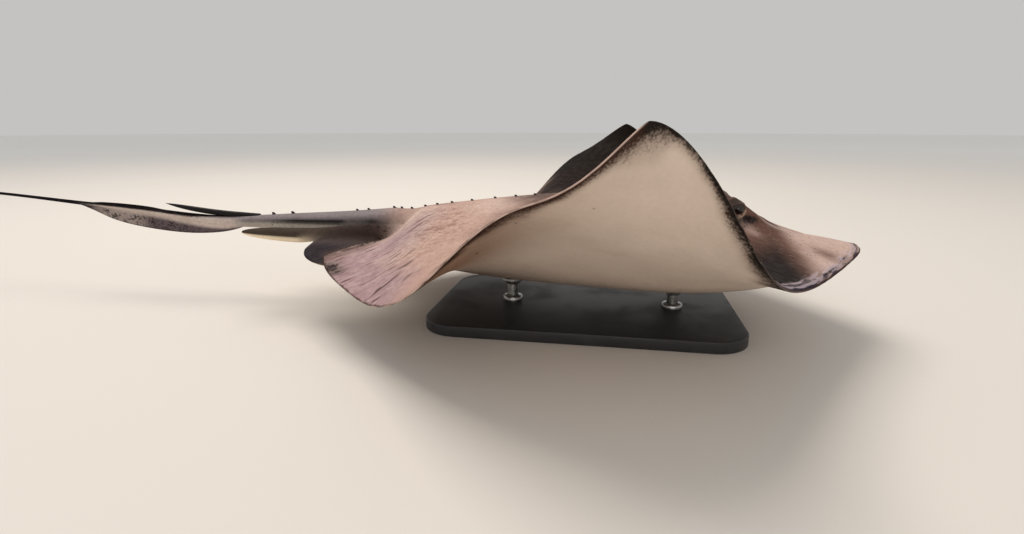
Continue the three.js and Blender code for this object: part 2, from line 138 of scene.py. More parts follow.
def smooth(value: Array) -> Array:
    """An eased step from 0 to 1 as value goes from 0 to 1."""
    value = np.clip(value, 0, 1)
    return value * value * (3 - 2 * value)


def rise(value: Array, start: float, over: float) -> Array:
    """An eased step: 0 up to start, then up to 1 within a distance."""
    return smooth((value - start) / over)


def fall(value: Array, end: float, over: float) -> Array:
    """An eased step down: from 1 to 0 within a distance that stops at end."""
    return smooth((end - value) / over)


def hump(x: Array, y: Array, at: Pair, size: Pair) -> Array:
    """A round hill of height 1.

    Args:
        x: Places forward.
        y: Places out from the midline.
        at: The hill's middle.
        size: How far it reaches each way.

    Returns:
        The hill's height at each place.
    """
    return np.exp(-(((x - at[0]) / size[0]) ** 2) - ((y - at[1]) / size[1]) ** 2)


def hills(x: Array, y: Array, forms: tuple[Hill, ...]) -> Array:
    """The summed height of several hills, each given by its height, middle and reach."""
    return sum(height * hump(x, y, at, size) for height, at, size in forms)


def spaced(count: int, zones: tuple[Triple, ...]) -> Array:
    """Steps from 0 to 1 that are finer in some zones.

    Args:
        count: How many steps.
        zones: For each zone its middle, its half width and how much finer it is.

    Returns:
        count + 1 rising numbers from 0 to 1.
    """
    fine = np.linspace(0, 1, 4001)
    density = np.ones_like(fine)
    for middle, half, extra in zones:
        density += extra * np.exp(-(((fine - middle) / half) ** 4))
    total = np.concatenate([[0], np.cumsum((density[1:] + density[:-1]) / 2)])
    return np.interp(np.linspace(0, total[-1], count + 1), total, fine)


# ---- Mesh making ---------------------------------------------------------------


def deselect() -> None:
    """Leave object mode with nothing selected."""
    if bpy.context.object and bpy.context.object.mode != "OBJECT":
        bpy.ops.object.mode_set(mode="OBJECT")
    bpy.ops.object.select_all(action="DESELECT")


def activate(obj: Object) -> None:
    """Select one object alone and make it the active one."""
    deselect()
    obj.select_set(True)
    bpy.context.view_layer.objects.active = obj


def close_up(obj: Object, gap: float = 1e-6) -> None:
    """Weld a shell's seam and poles, turn its faces outward and shade it smooth."""
    activate(obj)
    bpy.ops.object.mode_set(mode="EDIT")
    bpy.ops.mesh.select_all(action="SELECT")
    bpy.ops.mesh.remove_doubles(threshold=gap)
    bpy.ops.mesh.normals_make_consistent(inside=False)
    bpy.ops.object.mode_set(mode="OBJECT")
    bpy.ops.object.shade_smooth()


def loft(name: str, points: Array, marks: dict[str, Array] | None = None) -> Object:
    """A closed shell: a grid bent round into rings, with its seam and poles welded.

    Args:
        name: The object's name.
        points: Rows of ring points in millimetres, each ring's last point its first.
        marks: Numbers to keep on the points, by name.

    Returns:
        The new object.
    """
    rows, columns = points.shape[:2]
    deselect()
    bpy.ops.mesh.primitive_grid_add(
        x_subdivisions=columns - 1, y_subdivisions=rows - 1, size=1
    )
    obj = bpy.context.object
    obj.name = obj.data.name = name
    obj.data.vertices.foreach_set("co", (points * MM).astype(np.float32).ravel())
    for mark, values in (marks or {}).items():
        layer = obj.data.attributes.new(mark, "FLOAT", "POINT")
        layer.data.foreach_set("value", values.astype(np.float32).ravel())
    for layer in list(obj.data.uv_layers):
        obj.data.uv_layers.remove(layer)
    close_up(obj)
    return obj


def places(obj: Object) -> Array:
    """The object's vertices in millimetres."""
    found = np.empty(len(obj.data.vertices) * 3, np.float32)
    obj.data.vertices.foreach_get("co", found)
    return found.reshape(-1, 3).astype(float) / MM


def move_to(obj: Object, points: Array) -> None:
    """Put the object's vertices at points, in millimetres."""
    obj.data.vertices.foreach_set("co", (points * MM).astype(np.float32).ravel())
    obj.data.update()


def edge_ends(obj: Object) -> Array:
    """The points at the first and at the second end of every edge."""
    ends = np.empty(len(obj.data.edges) * 2, np.int32)
    obj.data.edges.foreach_get("vertices", ends)
    return ends.reshape(-1, 2).T


def mark_of(obj: Object, name: str) -> Array:
    """The numbers kept on the object's points under a name."""
    found = np.empty(len(obj.data.vertices), np.float32)
    obj.data.attributes[name].data.foreach_get("value", found)
    return found.astype(float)


def set_mark(obj: Object, name: str, values: Array) -> None:
    """Keep numbers on the object's points under a name."""
    layer = obj.data.attributes.get(name) or obj.data.attributes.new(name, "FLOAT", "POINT")
    layer.data.foreach_set("value", values.astype(np.float32).ravel())


def apply_modifier(obj: Object, kind: str, **settings: object) -> None:
    """Add a modifier with its settings and apply it.

    Args:
        obj: The object.
        kind: The modifier's type.
        settings: Its settings, by name.
    """
    activate(obj)
    modifier = obj.modifiers.new("shape", kind)
    for key, value in settings.items():
        setattr(modifier, key, value)
    bpy.ops.object.modifier_apply(modifier=modifier.name)


# ---- The body's form -----------------------------------------------------------


@dataclass(frozen=True)
class Fin:
    """How one pectoral fin is lifted: a wave highest at crest_x and a curled tip."""

    side: Side
    crest_x: float
    ahead: float
    behind: float
    crest: float
    curl: float
    curl_x: float
    curl_length: float
    curl_behind: float
    curl_power: float
    low_ahead: float = -0.07
    low_behind: float = -0.242
    root: float = 106
    root_behind: float = 50
    curl_from: float = 188

    def slope(self, x: Array, s: Array) -> Array:
        """Angle of the fin across the body, x forward and s out along the sheet."""
        along = x - self.crest_x
        low = np.where(along > 0, self.low_ahead, self.low_behind)
        reach = np.where(along > 0, self.ahead, self.behind)
        rise = (1 + np.cos(np.pi * np.minimum(abs(along) / reach, 1))) / 2
        root = self.root + (self.root_behind - self.root) * fall(x, -120, 90)
        wave = (low + (self.crest - low) * rise) * smooth(s / root)
        out = np.clip((s - self.curl_from) / (HALF_WIDTH - self.curl_from), 0, 1)
        reach = np.where(x > self.curl_x, self.curl_length, self.curl_behind)
        near = np.exp(-(((x - self.curl_x) / reach) ** 2))
        return wave + self.curl * near * out**self.curl_power

    def sheet(self, x: Array, s: Array, steps: int = 20) -> Array:
        """Points of the fin's middle sheet, with y counted outward.

        Args:
            x: Places forward.
            s: Distances out along the sheet.
            steps: How many steps the curve is followed in.

        Returns:
            Points as x, y and z.
        """
        y = np.zeros_like(s)
        z = np.zeros_like(s)
        for i in range(steps):
            angle = self.slope(x, (i + 0.5) * s / steps)
            y += np.cos(angle) * s / steps
            z += np.sin(angle) * s / steps
        return np.stack([x, y, z], -1)

    def normal(self, x: Array, s: Array) -> Array:
        """Unit normals of the middle sheet, facing up."""
        forward = self.sheet(x + 1, s) - self.sheet(x - 1, s)
        outward = self.sheet(x, s + 1) - self.sheet(x, np.maximum(s - 1, 0))
        across = np.cross(forward, outward)
        return across / np.linalg.norm(across, axis=-1, keepdims=True)


RIGHT_FIN = Fin(Side.RIGHT, -22, 284, 172, 0.304, 1.25, 71, 53, 56, 1.14)
LEFT_FIN = Fin(Side.LEFT, -25, 287, 141, 0.3, 1.2, 76, 62, 80, 1.17)


@dataclass(frozen=True)
class DiscForm:
    """The disc: a plan outline, and a thickness above and below a bent sheet."""

    ridge: Profile = Profile(
        ((-266, 22), (-216, 25.5), (-150, 34.2), (-75, 43), (0, 49), (60, 49.5), (105, 45))
        + ((140, 38), (160, 31.5), (180, 23.5), (200, 15.5), (225, 8.5), (250, 4.5), (270, 3))
    )
    belly: Profile = Profile(
        ((-266, 7), (-225, 15), (-170, 31), (-90, 41), (0, 45), (100, 46), (150, 42))
        + ((185, 36), (215, 26), (240, 14), (260, 6), (270, 3))
    )
    back_spread: Profile = Profile(
        ((-266, 26), (-200, 46), (-100, 78), (20, 92), (110, 84), (180, 66), (270, 34))
    )
    belly_spread: Profile = Profile(
        ((-266, 34), (-190, 66), (-60, 124), (60, 152), (150, 120), (210, 72), (270, 34))
    )
    leading: Knots = (
        ((SNOUT_X, 0), (SNOUT_X - 2, 45), (SNOUT_X - 75, 118), (SNOUT_X - 125, 208))
        + ((TIP_X + 105, 265), (TIP_X + 13, HALF_WIDTH - 3), (TIP_X, HALF_WIDTH))
    )
    trailing: Knots = (
        ((TIP_X, HALF_WIDTH), (TIP_X - 16, HALF_WIDTH - 3), (TIP_X - 85, 269))
        + ((TIP_X - 150, 261), (REAR_X + 87, 140), (REAR_X + 12, 138))
        + ((REAR_X + 14, 102), (REAR_X, 79))
    )
    inner: Knots = ((REAR_X, 79), (REAR_X + 17, 80), (REAR_X + 71, 52), (DISC_END_X, 0))
    shares: Pair = (0.43, 0.87)
    rim_half: float = 0.75
    rim_round: float = 1.5
    root_half: float = 9.5
    orbit: Hill = (17, (139, 38), (19, 13))
    behind_eye: Hill = (-9, (113, 47), (10, 7))
    valley_out: float = 62
    valley_x: float = -135
    valley_wide: float = 38
    rows: int = 226
    row_zones: tuple = ((0.0, 0.04, 1.2), (0.25, 0.115, 1.3), (0.43, 0.03, 1.0), (0.87, 0.02, 1.5))
    top_columns: int = 68
    top_zones: tuple = ((0.2, 0.13, 1.3),)
    low_columns: int = 56
    low_zones: tuple = ((0.12, 0.17, 1.2),)
    edge_points: int = 900
    chunks: int = 40
    rim_steps: tuple = (0.982, 0.99, 0.9945, 0.9975, 0.9992, 1.0)

    def outline(self, t: Array) -> Array:
        """The plan outline from snout (t = 0) to tail (t = 1), as (x, distance out)."""
        first, second = self.shares
        t = np.asarray(t, float)
        ahead = bezier(self.leading, np.clip(t / first, 0, 1))
        behind = bezier(self.trailing, np.clip((t - first) / (second - first), 0, 1))
        within = bezier(self.inner, np.clip((t - second) / (1 - second), 0, 1))
        return np.where(
            (t < first)[:, None], ahead, np.where((t < second)[:, None], behind, within)
        )

    def margin(self, x: Array, s: Array) -> Array:
        """Distance in plan from each place to the disc's outline."""
        edge = self.outline(np.linspace(0, 1, self.edge_points))
        nearest = np.full(x.size, np.inf)
        flat = np.stack([x.ravel(), s.ravel()], -1)
        for part in np.array_split(np.arange(x.size), self.chunks):
            away = flat[part][:, None, :] - edge[None]
            nearest[part] = np.sqrt((away**2).sum(-1).min(-1))
        return nearest.reshape(x.shape)

    def back(self, x: Array, s: Array, u: Array) -> Array:
        """Height of the back over the sheet; u is 0 on the midline and 1 at the rim.

        Args:
            x: Places forward.
            s: Distances out along the sheet.
            u: 0 on the midline and 1 at the rim.

        Returns:
            Heights over the sheet.
        """
        ridge = self.ridge(x)
        root = np.minimum(self.root_half, ridge * 0.6)
        skirt = self.rim_half + root * (1 - u * u)
        height = skirt + (ridge - self.rim_half - root) * np.exp(
            -((s / self.back_spread(x)) ** 2)
        )
        return height + hills(x, s, (self.orbit, self.behind_eye)) + HeadRelief().back(x, s)

    def depth(self, x: Array, s: Array, u: Array) -> Array:
        """Depth of the belly below the sheet.

        Args:
            x: Places forward.
            s: Distances out along the sheet.
            u: 0 on the midline and 1 at the rim.

        Returns:
            Depths below the sheet.
        """
        belly = self.belly(x)
        root = np.minimum(self.root_half * 0.7, belly * 0.5)
        skirt = self.rim_half + root * (1 - u * u)
        bulge = np.exp(-((s / self.belly_spread(x)) ** 2.3)) * (1 - u**5)
        depth = skirt + (belly - self.rim_half - root) * bulge
        return depth + HeadRelief().belly(x, s)


@dataclass(frozen=True)
class HeadRelief:
    """The small relief of the head and the gill region, above and below."""

    spiracle: Pair = (112, 48)
    spiracle_size: Pair = (8, 5.5)
    spiracle_depth: float = 8
    mouth_x: float = 170
    mouth_half: float = 21
    nostril: Pair = (203, 20)
    gills: int = 5
    gill_start: Pair = (126, 55)
    gill_step: Pair = (23, 3.2)
    gill_half: float = 6.5
    crest_path: Profile = Profile(((150, 34), (180, 33), (195, 27), (212, 15), (236, 5)))
    crest_high: float = 1.3
    rises: tuple[Hill, ...] = (
        (-1.6, (137, 0), (26, 17)),
        (-1.2, (184, 0), (20, 9)),
        (1.5, (62, 56), (42, 15)),
        (5.6, (160, 33), (12, 14)),
        (3.2, (179, 22), (12, 16)),
    )

    def hole(self, x: Array, s: Array) -> Array:
        """How far inside a spiracle each place of the back is, 0 to 1."""
        away = ((x - self.spiracle[0]) / self.spiracle_size[0]) ** 2
        away += ((s - self.spiracle[1]) / self.spiracle_size[1]) ** 2
        return np.exp(-(away**2))

    def back(self, x: Array, s: Array) -> Array:
        """Height added to the back."""
        crest = self.crest_high * self.crest(x, s, 4.5)
        return hills(x, s, self.rises) + crest - self.spiracle_depth * self.hole(x, s)

    def crest_line(self, x: Array) -> Array:
        """How far out the crest that runs from each eye to the snout lies."""
        return self.crest_path(x)

    def lip(self, x: Array, s: Array) -> Array:
        """Distance ahead of the curved line of the mouth."""
        return x - self.mouth_x - 5 * (s / self.mouth_half) ** 2

    def gill_places(self) -> list[Pair]:
        """The middle of each gill slit, from the front."""
        (x, s), (step_x, step_s) = self.gill_start, self.gill_step
        return [(x - i * step_x, s - i * step_s) for i in range(self.gills)]

    def crest(self, x: Array, s: Array, wide: float) -> Array:
        """How near each place is to a crest, 0 to 1."""
        near = np.exp(-(((s - self.crest_line(x)) / wide) ** 2))
        return near * rise(x, 158, 10) * (1 - rise(x, 214, 26))

    def grooves(self, x: Array, s: Array) -> Array:
        """How far inside the mouth, a nostril or a gill slit the belly is, 0 to 1."""
        deep = np.exp(-((self.lip(x, s) / 2.0) ** 2)) * (1 - rise(s, self.mouth_half, 4))
        deep = np.maximum(deep, hump(x, s, self.nostril, (4.2, 3.2)))
        channel = np.exp(-(((s - 18.5) / 1.8) ** 2))
        channel *= rise(x, 172, 5) * (1 - rise(x, 200, 5))
        deep = np.maximum(deep, 0.7 * channel)
        for at_x, at_s in self.gill_places():
            bend = at_x - 0.035 * (s - at_s) ** 2
            slit = np.exp(-(((x - bend) / 1.5) ** 2))
            deep = np.maximum(deep, slit * np.exp(-(((s - at_s) / self.gill_half) ** 6)))
        return deep

    def belly(self, x: Array, s: Array) -> Array:
        """Depth added to the belly."""
        inside = 1 - rise(s, self.mouth_half, 5)
        lips = 1.8 * inside * np.exp(-(((abs(self.lip(x, s)) - 4.5) / 3) ** 2))
        curtain = 1.4 * rise(x, 174, 4) * (1 - rise(x, 203, 8))
        curtain = curtain * (1 - rise(s, 15, 4))
        size = (4.5, self.gill_half)
        flaps = hills(x, s, tuple((1.3, (at_x + 4.5, at_s), size) for at_x, at_s in self.gill_places()))
        return lips + curtain + flaps - 3.2 * self.grooves(x, s)


@dataclass
class DiscMesh:
    """Builds the disc's shell from its form."""

    form: DiscForm = field(default_factory=DiscForm)

    def columns(self, count: int, zones: tuple) -> Array:
        """Steps across one half of the disc, finer near the head and at the rim."""
        first = self.form.rim_steps[0]
        inner = spaced(count, zones)[:-1] * first
        return np.concatenate([inner, self.form.rim_steps])

    def half(self, fin: Fin, across: Array, above: bool) -> dict[str, Array]:
        """One quarter of the shell: one side, above or below.

        Args:
            fin: The side's fin.
            across: Steps out from the midline.
            above: Whether it is the back or the belly.

        Returns:
            Arrays of rows by columns, by name, with the points under "place".
        """
        form = self.form
        t = spaced(form.rows, form.row_zones)
        edge = form.outline(t)
        middle = SNOUT_X + (DISC_END_X - SNOUT_X) * t
        u = np.broadcast_to(across, (len(t), len(across))).copy()
        x = middle[:, None] + (edge[:, :1] - middle[:, None]) * u
        s = edge[:, 1:] * u
        thick = form.back(x, s, u) if above else -form.depth(x, s, u)
        margin = form.margin(x, s)
        round_off = np.clip(np.abs(thick) * 1.3, form.rim_round, 5.0)
        inset = 1 - np.minimum(margin / round_off, 1)
        rounded = np.sqrt(np.maximum(1 - inset**2, 0))
        near_tail = np.exp(-((s / form.valley_out) ** 4)) * fall(x, form.valley_x, 40) * above
        valley = rounded * (0.08 + 0.92 * smooth(margin / form.valley_wide))
        thick = thick * (rounded + (valley - rounded) * near_tail)
        thick[:, -1] = 0
        place = fin.sheet(x, s) + fin.normal(x, s) * thick[..., None]
        place[..., 1] *= fin.side.value
        place[..., 2] += MID_HEIGHT
        ones = np.ones_like(x)
        return {
            "place": place,
            "plan_x": x,
            "plan_s": s * fin.side.value,
            "margin": margin,
            "ray": np.broadcast_to(t[:, None], x.shape).copy(),
            "under": ones * (0.0 if above else 1.0),
        }

    def build(self) -> Object:
        """The whole disc as a closed shell with its marks."""
        form = self.form
        top = self.columns(form.top_columns, form.top_zones)
        low = self.columns(form.low_columns, form.low_zones)
        right_top = self.half(RIGHT_FIN, top, True)
        left_top = self.half(LEFT_FIN, top, True)
        left_low = self.half(LEFT_FIN, low, False)
        right_low = self.half(RIGHT_FIN, low, False)
        rings = {
            key: np.concatenate(
                [
                    right_top[key][:, ::-1],
                    left_top[key][:, 1:],
                    left_low[key][:, -2::-1],
                    right_low[key][:, 1:],
                ],
                axis=1,
            )
            for key in right_top
        }
        place = rings.pop("place")
        place[0] = (SNOUT_X, 0, MID_HEIGHT)
        place[-1] = (DISC_END_X, 0, MID_HEIGHT)
        parts = np.full(place.shape[:2], Part.DISC.value)
        return loft("disc", place, rings | {"part": parts})


@dataclass(frozen=True)
class TailForm:
    """The tail: height of its middle, half width and half height by distance forward."""

    front_x: float = -150
    tip_x: float = -1366
    line: Profile = Profile(
        ((-150, 14), (-180, 13), (-216, 11), (-266, 9), (-342, 7.6), (-394, 6.4), (-430, 5.8))
        + ((-475, 8.8), (-535, 14.8), (-631, 22.4), (-753, 32.2), (-1000, 47))
        + ((-1200, 55), (-1366, 57))
    )
    half_width: Profile = Profile(
        ((-150, 27), (-180, 23), (-216, 20), (-266, 17), (-342, 11.5), (-394, 8.6), (-475, 5.6))
        + ((-535, 4.3), (-631, 2.7), (-753, 2), (-1000, 1.5), (-1366, 0.7))
    )
    half_height: Profile = Profile(
        ((-150, 21), (-180, 18), (-216, 16.2), (-266, 13.4), (-342, 9.6), (-394, 7.3), (-475, 4.9))
        + ((-535, 3.9), (-631, 2.4), (-753, 1.7), (-1000, 1.4), (-1366, 0.7))
    )
    drift: Profile = Profile(((-760, 0), (-1000, 9), (-1200, 26), (-1366, 48)))
    fold: Profile = Profile(
        ((-640, 0), (-634, 2), (-616, 7.5), (-589, 16), (-558, 20.5), (-518, 22))
        + ((-475, 19.5), (-433, 13), (-400, 4), (-392, 0))
    )
    fold_half: float = 0.9
    fold_dark: Profile = Profile(
        ((-640, 0.02), (-612, 0.08), (-580, 0.2), (-545, 0.28), (-509, 0.34), (-430, 0.76))
    )
    keel: Profile = Profile(((-618, 0), (-600, 1.6), (-566, 2.2), (-535, 1.6), (-515, 0)))
    vent: Pair = (-219, 9)
    around: int = 12
    blade: int = 9

    def rings(self) -> Array:
        """Distances forward of the rings, from inside the trunk to the tip."""
        near = np.arange(self.front_x, -660, -3.2)
        far = np.arange(near[-1] - 5, self.tip_x + 3, -7.0)
        return np.concatenate([near, far, [self.tip_x + 2.2, self.tip_x + 0.8]])

    def section(self, x: float) -> tuple[Array, Array]:
        """Half of the tail's section at x, from the middle of its top to its bottom.

        Args:
            x: Distance forward.

        Returns:
            Distances out and heights from the tail's middle.
        """
        width = float(self.half_width(x))
        height = float(self.half_height(x))
        turn = np.radians(np.linspace(90, -72, self.around))
        out = width * np.cos(turn)
        up = height * np.sin(turn)
        up = up + float(self.keel(x)) * np.exp(-((out / 1.3) ** 2))
        v = np.arange(1, self.blade + 1) / self.blade
        reach = max(float(self.fold(x)), height)
        narrow = min(out[-1], self.fold_half + 0.25 * width * (reach <= height))
        blade_out = (out[-1] + (narrow - out[-1]) * smooth(v * 2.2)) * np.sqrt(1 - v**8)
        blade_up = up[-1] - (reach + up[-1]) * v
        out = np.concatenate([out, blade_out])
        up = np.concatenate([up, blade_up])
        slit = np.exp(-(((x - self.vent[0]) / self.vent[1]) ** 4) - (out / 1.6) ** 2)
        return out, up + np.where(up < 0, 3.0 * slit, 0)

    def build(self) -> Object:
        """The tail as a closed shell with its marks."""
        rows, around, height = [], [], []
        stations = self.rings()
        for x in stations:
            out, up = self.section(x)
            taper = math.sqrt(min((x - self.tip_x) / 4.0, 1.0))
            ring_y = np.concatenate([out, -out[-2::-1]]) * taper
            ring_z = np.concatenate([up, up[-2::-1]]) * taper
            middle = np.array([x, float(self.drift(x)), MID_HEIGHT + float(self.line(x))])
            rows.append(middle + np.stack([0 * ring_y, ring_y, ring_z], -1))
            step = np.hypot(np.diff(ring_y), np.diff(ring_z))
            around.append(np.concatenate([[0], np.cumsum(step)]))
            height.append(ring_z / max(float(self.half_height(x)), 0.1))
        root = rows[0].mean(0) + (4, 0, 0)
        tip = np.array(
            [self.tip_x, float(self.drift(self.tip_x)), MID_HEIGHT + float(self.line(self.tip_x))]
        )
        rows = [np.broadcast_to(root, rows[0].shape), *rows, np.broadcast_to(tip, rows[0].shape)]
        around = np.array([around[0], *around, around[-1]])
        height = np.array([height[0], *height, height[-1]])
        x = np.array([p[:, 0] for p in rows])
        flat = np.zeros_like(x)
        marks = {"plan_x": x, "plan_s": around, "margin": flat + 60, "ray": height}
        return loft("tail", np.array(rows), marks | {"under": flat, "part": flat + Part.TAIL.value})


@dataclass(frozen=True)
class PelvicForm:
    """A pelvic fin: a thin rounded lobe beside the tail's root."""

    root_x: float = -216
    inner_y: float = 27
    tip_x: float = -284
    tip_y: float = 81
    half: float = 2.4
    z: float = -10
    ref: Pair = (-232, 50)
    droop: float = 0.33
    rise: float = 0.09
    rows: int = 46
    columns: int = 24

    def line(self, x: Array, y: Array) -> Array:
        """Height of the fin's middle: it droops outward and rises to the rear."""
        return self.z - self.droop * (y - self.ref[1]) + self.rise * (self.ref[0] - x)

    def edge(self, t: Array) -> Array:
        """The fin's free edge in plan, from its front to its rear."""
        front = ((self.root_x, self.inner_y), (self.root_x - 6, 62))
        front += ((self.root_x - 18, self.tip_y + 12), (self.tip_x + 26, self.tip_y + 17))
        front += ((self.tip_x, self.tip_y),)
        rear = ((self.tip_x, self.tip_y), (self.tip_x - 15, self.tip_y - 12))
        rear += ((self.tip_x - 14, 44), (self.tip_x + 4, 34), (self.tip_x + 18, self.inner_y))
        ahead = bezier(front, np.clip(t / 0.55, 0, 1))
        return np.where((t < 0.55)[:, None], ahead, bezier(rear, np.clip((t - 0.55) / 0.45, 0, 1)))

    def build(self, side: Side) -> Object:
        """One pelvic fin as a closed shell with its marks."""
        t = np.linspace(0, 1, self.rows + 1)
        edge = self.edge(t)
        root = self.root_x + (self.tip_x + 18 - self.root_x) * t
        inward = np.linspace(0, 1, self.columns) ** 1.6
        u = np.concatenate([1 - inward[::-1], (1 - inward)[1:], [0.0]])
        top = np.concatenate([np.ones(self.columns), -np.ones(self.columns - 1), [1.0]])
        x = root[:, None] + (edge[:, :1] - root[:, None]) * u
        y = self.inner_y + (edge[:, 1:] - self.inner_y) * u
        reach = np.hypot(edge[:, 0] - root, edge[:, 1] - self.inner_y)[:, None] * (1 - u)
        ends = np.sqrt(np.maximum(1 - np.abs(2 * t - 1) ** 12, 0))[:, None]
        round_off = np.sqrt(1 - (1 - np.minimum(reach / 2.2, 1)) ** 2)
        half = self.half * (1.6 - u) * ends * round_off
        z = self.line(x, y) + top * half
        margin = np.minimum(reach, 60)
        marks = {
            "plan_x": x,
            "plan_s": y * side.value,
            "margin": margin,
            "ray": np.broadcast_to(t[:, None], x.shape).copy(),
            "under": np.broadcast_to((1 - top) / 2, x.shape).copy(),
            "part": np.full(x.shape, Part.PELVIC_FIN.value),
        }
        place = np.stack([x, y * side.value, z + MID_HEIGHT], -1)
        return loft(f"pelvic_{side.word}", place, marks)


@dataclass(frozen=True)
class ClasperForm:
    """A clasper: a tapering rod with a groove along its inner upper side."""

    root: Pair = (-198, 27)
    tip: Pair = (-377, 50)
    half: float = 8.6
    line: Profile = Profile(
        ((0, 5), (0.2, 6), (0.33, 4.5), (0.45, 2), (0.6, 0), (0.8, 1.3), (1, 3))
    )
    root_more: float = 0.6
    flat: float = 0.86
    groove: float = 0.16
    rings: int = 52
    sides: int = 28

    def build(self, side: Side) -> Object:
        """One clasper as a closed shell with its marks."""
        t = spaced(self.rings, ((1.0, 0.08, 2.0),))[:, None]
        angle = np.linspace(0, 2 * np.pi, self.sides + 1)[None, :]
        half = self.half * (0.82 + 0.28 * np.sin(np.pi * t**1.4) + self.root_more * (1 - t) ** 6)
        half = half * np.sqrt(np.maximum(1 - t**9, 0))
        away = np.angle(np.exp(1j * (angle - np.radians(128))))
        along = rise(t, 0.22, 0.2) * (1 - rise(t, 0.86, 0.1))
        half = half * (1 - self.groove * along * np.exp(-((away / 0.22) ** 2)))
        x = self.root[0] + (self.tip[0] - self.root[0]) * t + 0 * angle
        middle = self.root[1] + (self.tip[1] - self.root[1]) * t
        y = middle + half * np.cos(angle)
        z = self.line(t) + half * self.flat * np.sin(angle)
        y[0] = middle[0]
        z[0] = self.line(0)
        x[0] += 4
        marks = {
            "plan_x": x,
            "plan_s": self.half * angle * side.value + 0 * t,
            "margin": np.full(x.shape, 60.0),
            "ray": np.sin(angle) + 0 * t,
            "under": np.broadcast_to((1 - np.sin(angle)) / 2, x.shape).copy(),
            "part": np.full(x.shape, Part.CLASPER.value),
        }
        place = np.stack([x, y * side.value, z + MID_HEIGHT], -1)
        return loft(f"clasper_{side.word}", place, marks)


# ---- Shader helpers ------------------------------------------------------------


def linear(code: str) -> tuple[float, float, float, float]:
    """A linear colour with alpha from a six-digit screen colour."""
    parts = [int(code[i : i + 2], 16) / 255 for i in (0, 2, 4)]
    red, green, blue = [
        part / 12.92 if part <= 0.04045 else ((part + 0.055) / 1.055) ** 2.4 for part in parts
    ]
    return red, green, blue, 1.0


Value = float | tuple | bpy.types.NodeSocket


class Graph:
    """Adds and links the nodes of one shader tree."""

    def __init__(self, tree: NodeTree) -> None:
        """Work on a tree."""
        self.tree = tree

    def fill(self, node: Node, inputs: dict) -> None:
        """Set or link a node's inputs, by name or number."""
        for key, value in inputs.items():
            if isinstance(value, bpy.types.NodeSocket):
                self.tree.links.new(value, node.inputs[key])
            else:
                node.inputs[key].default_value = value

    def node(self, kind: str, inputs: dict | None = None, **settings: object) -> Node:
        """Add a node.

        Args:
            kind: The node's type, without the ShaderNode in front.
            inputs: Values or sockets for its inputs, by name or number.
            settings: The node's own properties.

        Returns:
            The new node.
        """
        node = self.tree.nodes.new("ShaderNode" + kind)
        for key, value in settings.items():
            setattr(node, key, value)
        self.fill(node, inputs or {})
        return node

    def math(self, operation: str, a: Value, b: Value, clamp: bool = False) -> Value:
        """The result of a Math node."""
        node = self.node("Math", {0: a, 1: b}, operation=operation, use_clamp=clamp)
        return node.outputs[0]

    def plus(self, a: Value, b: Value) -> Value:
        """The sum of two values."""
        return self.math("ADD", a, b)

    def minus(self, a: Value, b: Value, clamp: bool = False) -> Value:
        """The first value less the second."""
        return self.math("SUBTRACT", a, b, clamp)

    def times(self, a: Value, b: Value, clamp: bool = False) -> Value:
        """The product of two values."""
        return self.math("MULTIPLY", a, b, clamp)

    def stretch(self, vector: Value, scale: Triple) -> Value:
        """A vector scaled along each axis."""
        return self.node("Mapping", {"Vector": vector, "Scale": scale}).outputs[0]

    def vector(self, x: Value, y: Value) -> Value:
        """A flat vector from two values."""
        return self.node("CombineXYZ", {0: x, 1: y, 2: 0.0}).outputs[0]

    def distance(self, vector: Value, place: Triple) -> Value:
        """How far a vector is from a place in millimetres."""
        inputs = {0: vector, 1: tuple(value * MM for value in place)}
        return self.node("VectorMath", inputs, operation="DISTANCE").outputs["Value"]

    def ramp(self, value: Value, low: float, high: float, to: tuple = (0.0, 1.0)) -> Value:
        """An eased step of a value from low to high, onto the range in to."""
        inputs = {"Value": value, "From Min": low, "From Max": high, "To Min": to[0], "To Max": to[1]}
        return self.node("MapRange", inputs, interpolation_type="SMOOTHSTEP").outputs[0]

    def mix(self, factor: Value, a: Value, b: Value, blend: str = "MIX") -> Value:
        """A blend of two colours."""
        node = self.node("Mix", {0: factor, 6: a, 7: b}, data_type="RGBA", blend_type=blend)
        return node.outputs[2]

    def lay(self, colour: Value, code: str, factor: Value) -> Value:
        """A colour with another laid over it, given as a screen colour."""
        return self.mix(factor, colour, linear(code))

    def noise(self, vector: Value, scale: Value, detail: float = 2.0, warp: float = 0.0) -> Value:
        """Soft noise from 0 to 1."""
        inputs = {"Vector": vector, "Scale": scale, "Detail": detail, "Distortion": warp}
        return self.node("TexNoise", inputs).outputs[0]

    def cells(self, vector: Value, scale: Value) -> Value:
        """Distance to the nearest cell's middle."""
        return self.node("TexVoronoi", {"Vector": vector, "Scale": scale}).outputs[0]

    def mark(self, name: str) -> Value:
        """A number kept on the mesh."""
        return self.node("Attribute", attribute_name=name).outputs["Fac"]

    def group(self, tree: NodeTree, **inputs: Value) -> Value:
        """The first output of a node group placed with its own values."""
        node = self.tree.nodes.new("ShaderNodeGroup")
        node.node_tree = tree
        self.fill(node, inputs)
        return node.outputs[0]


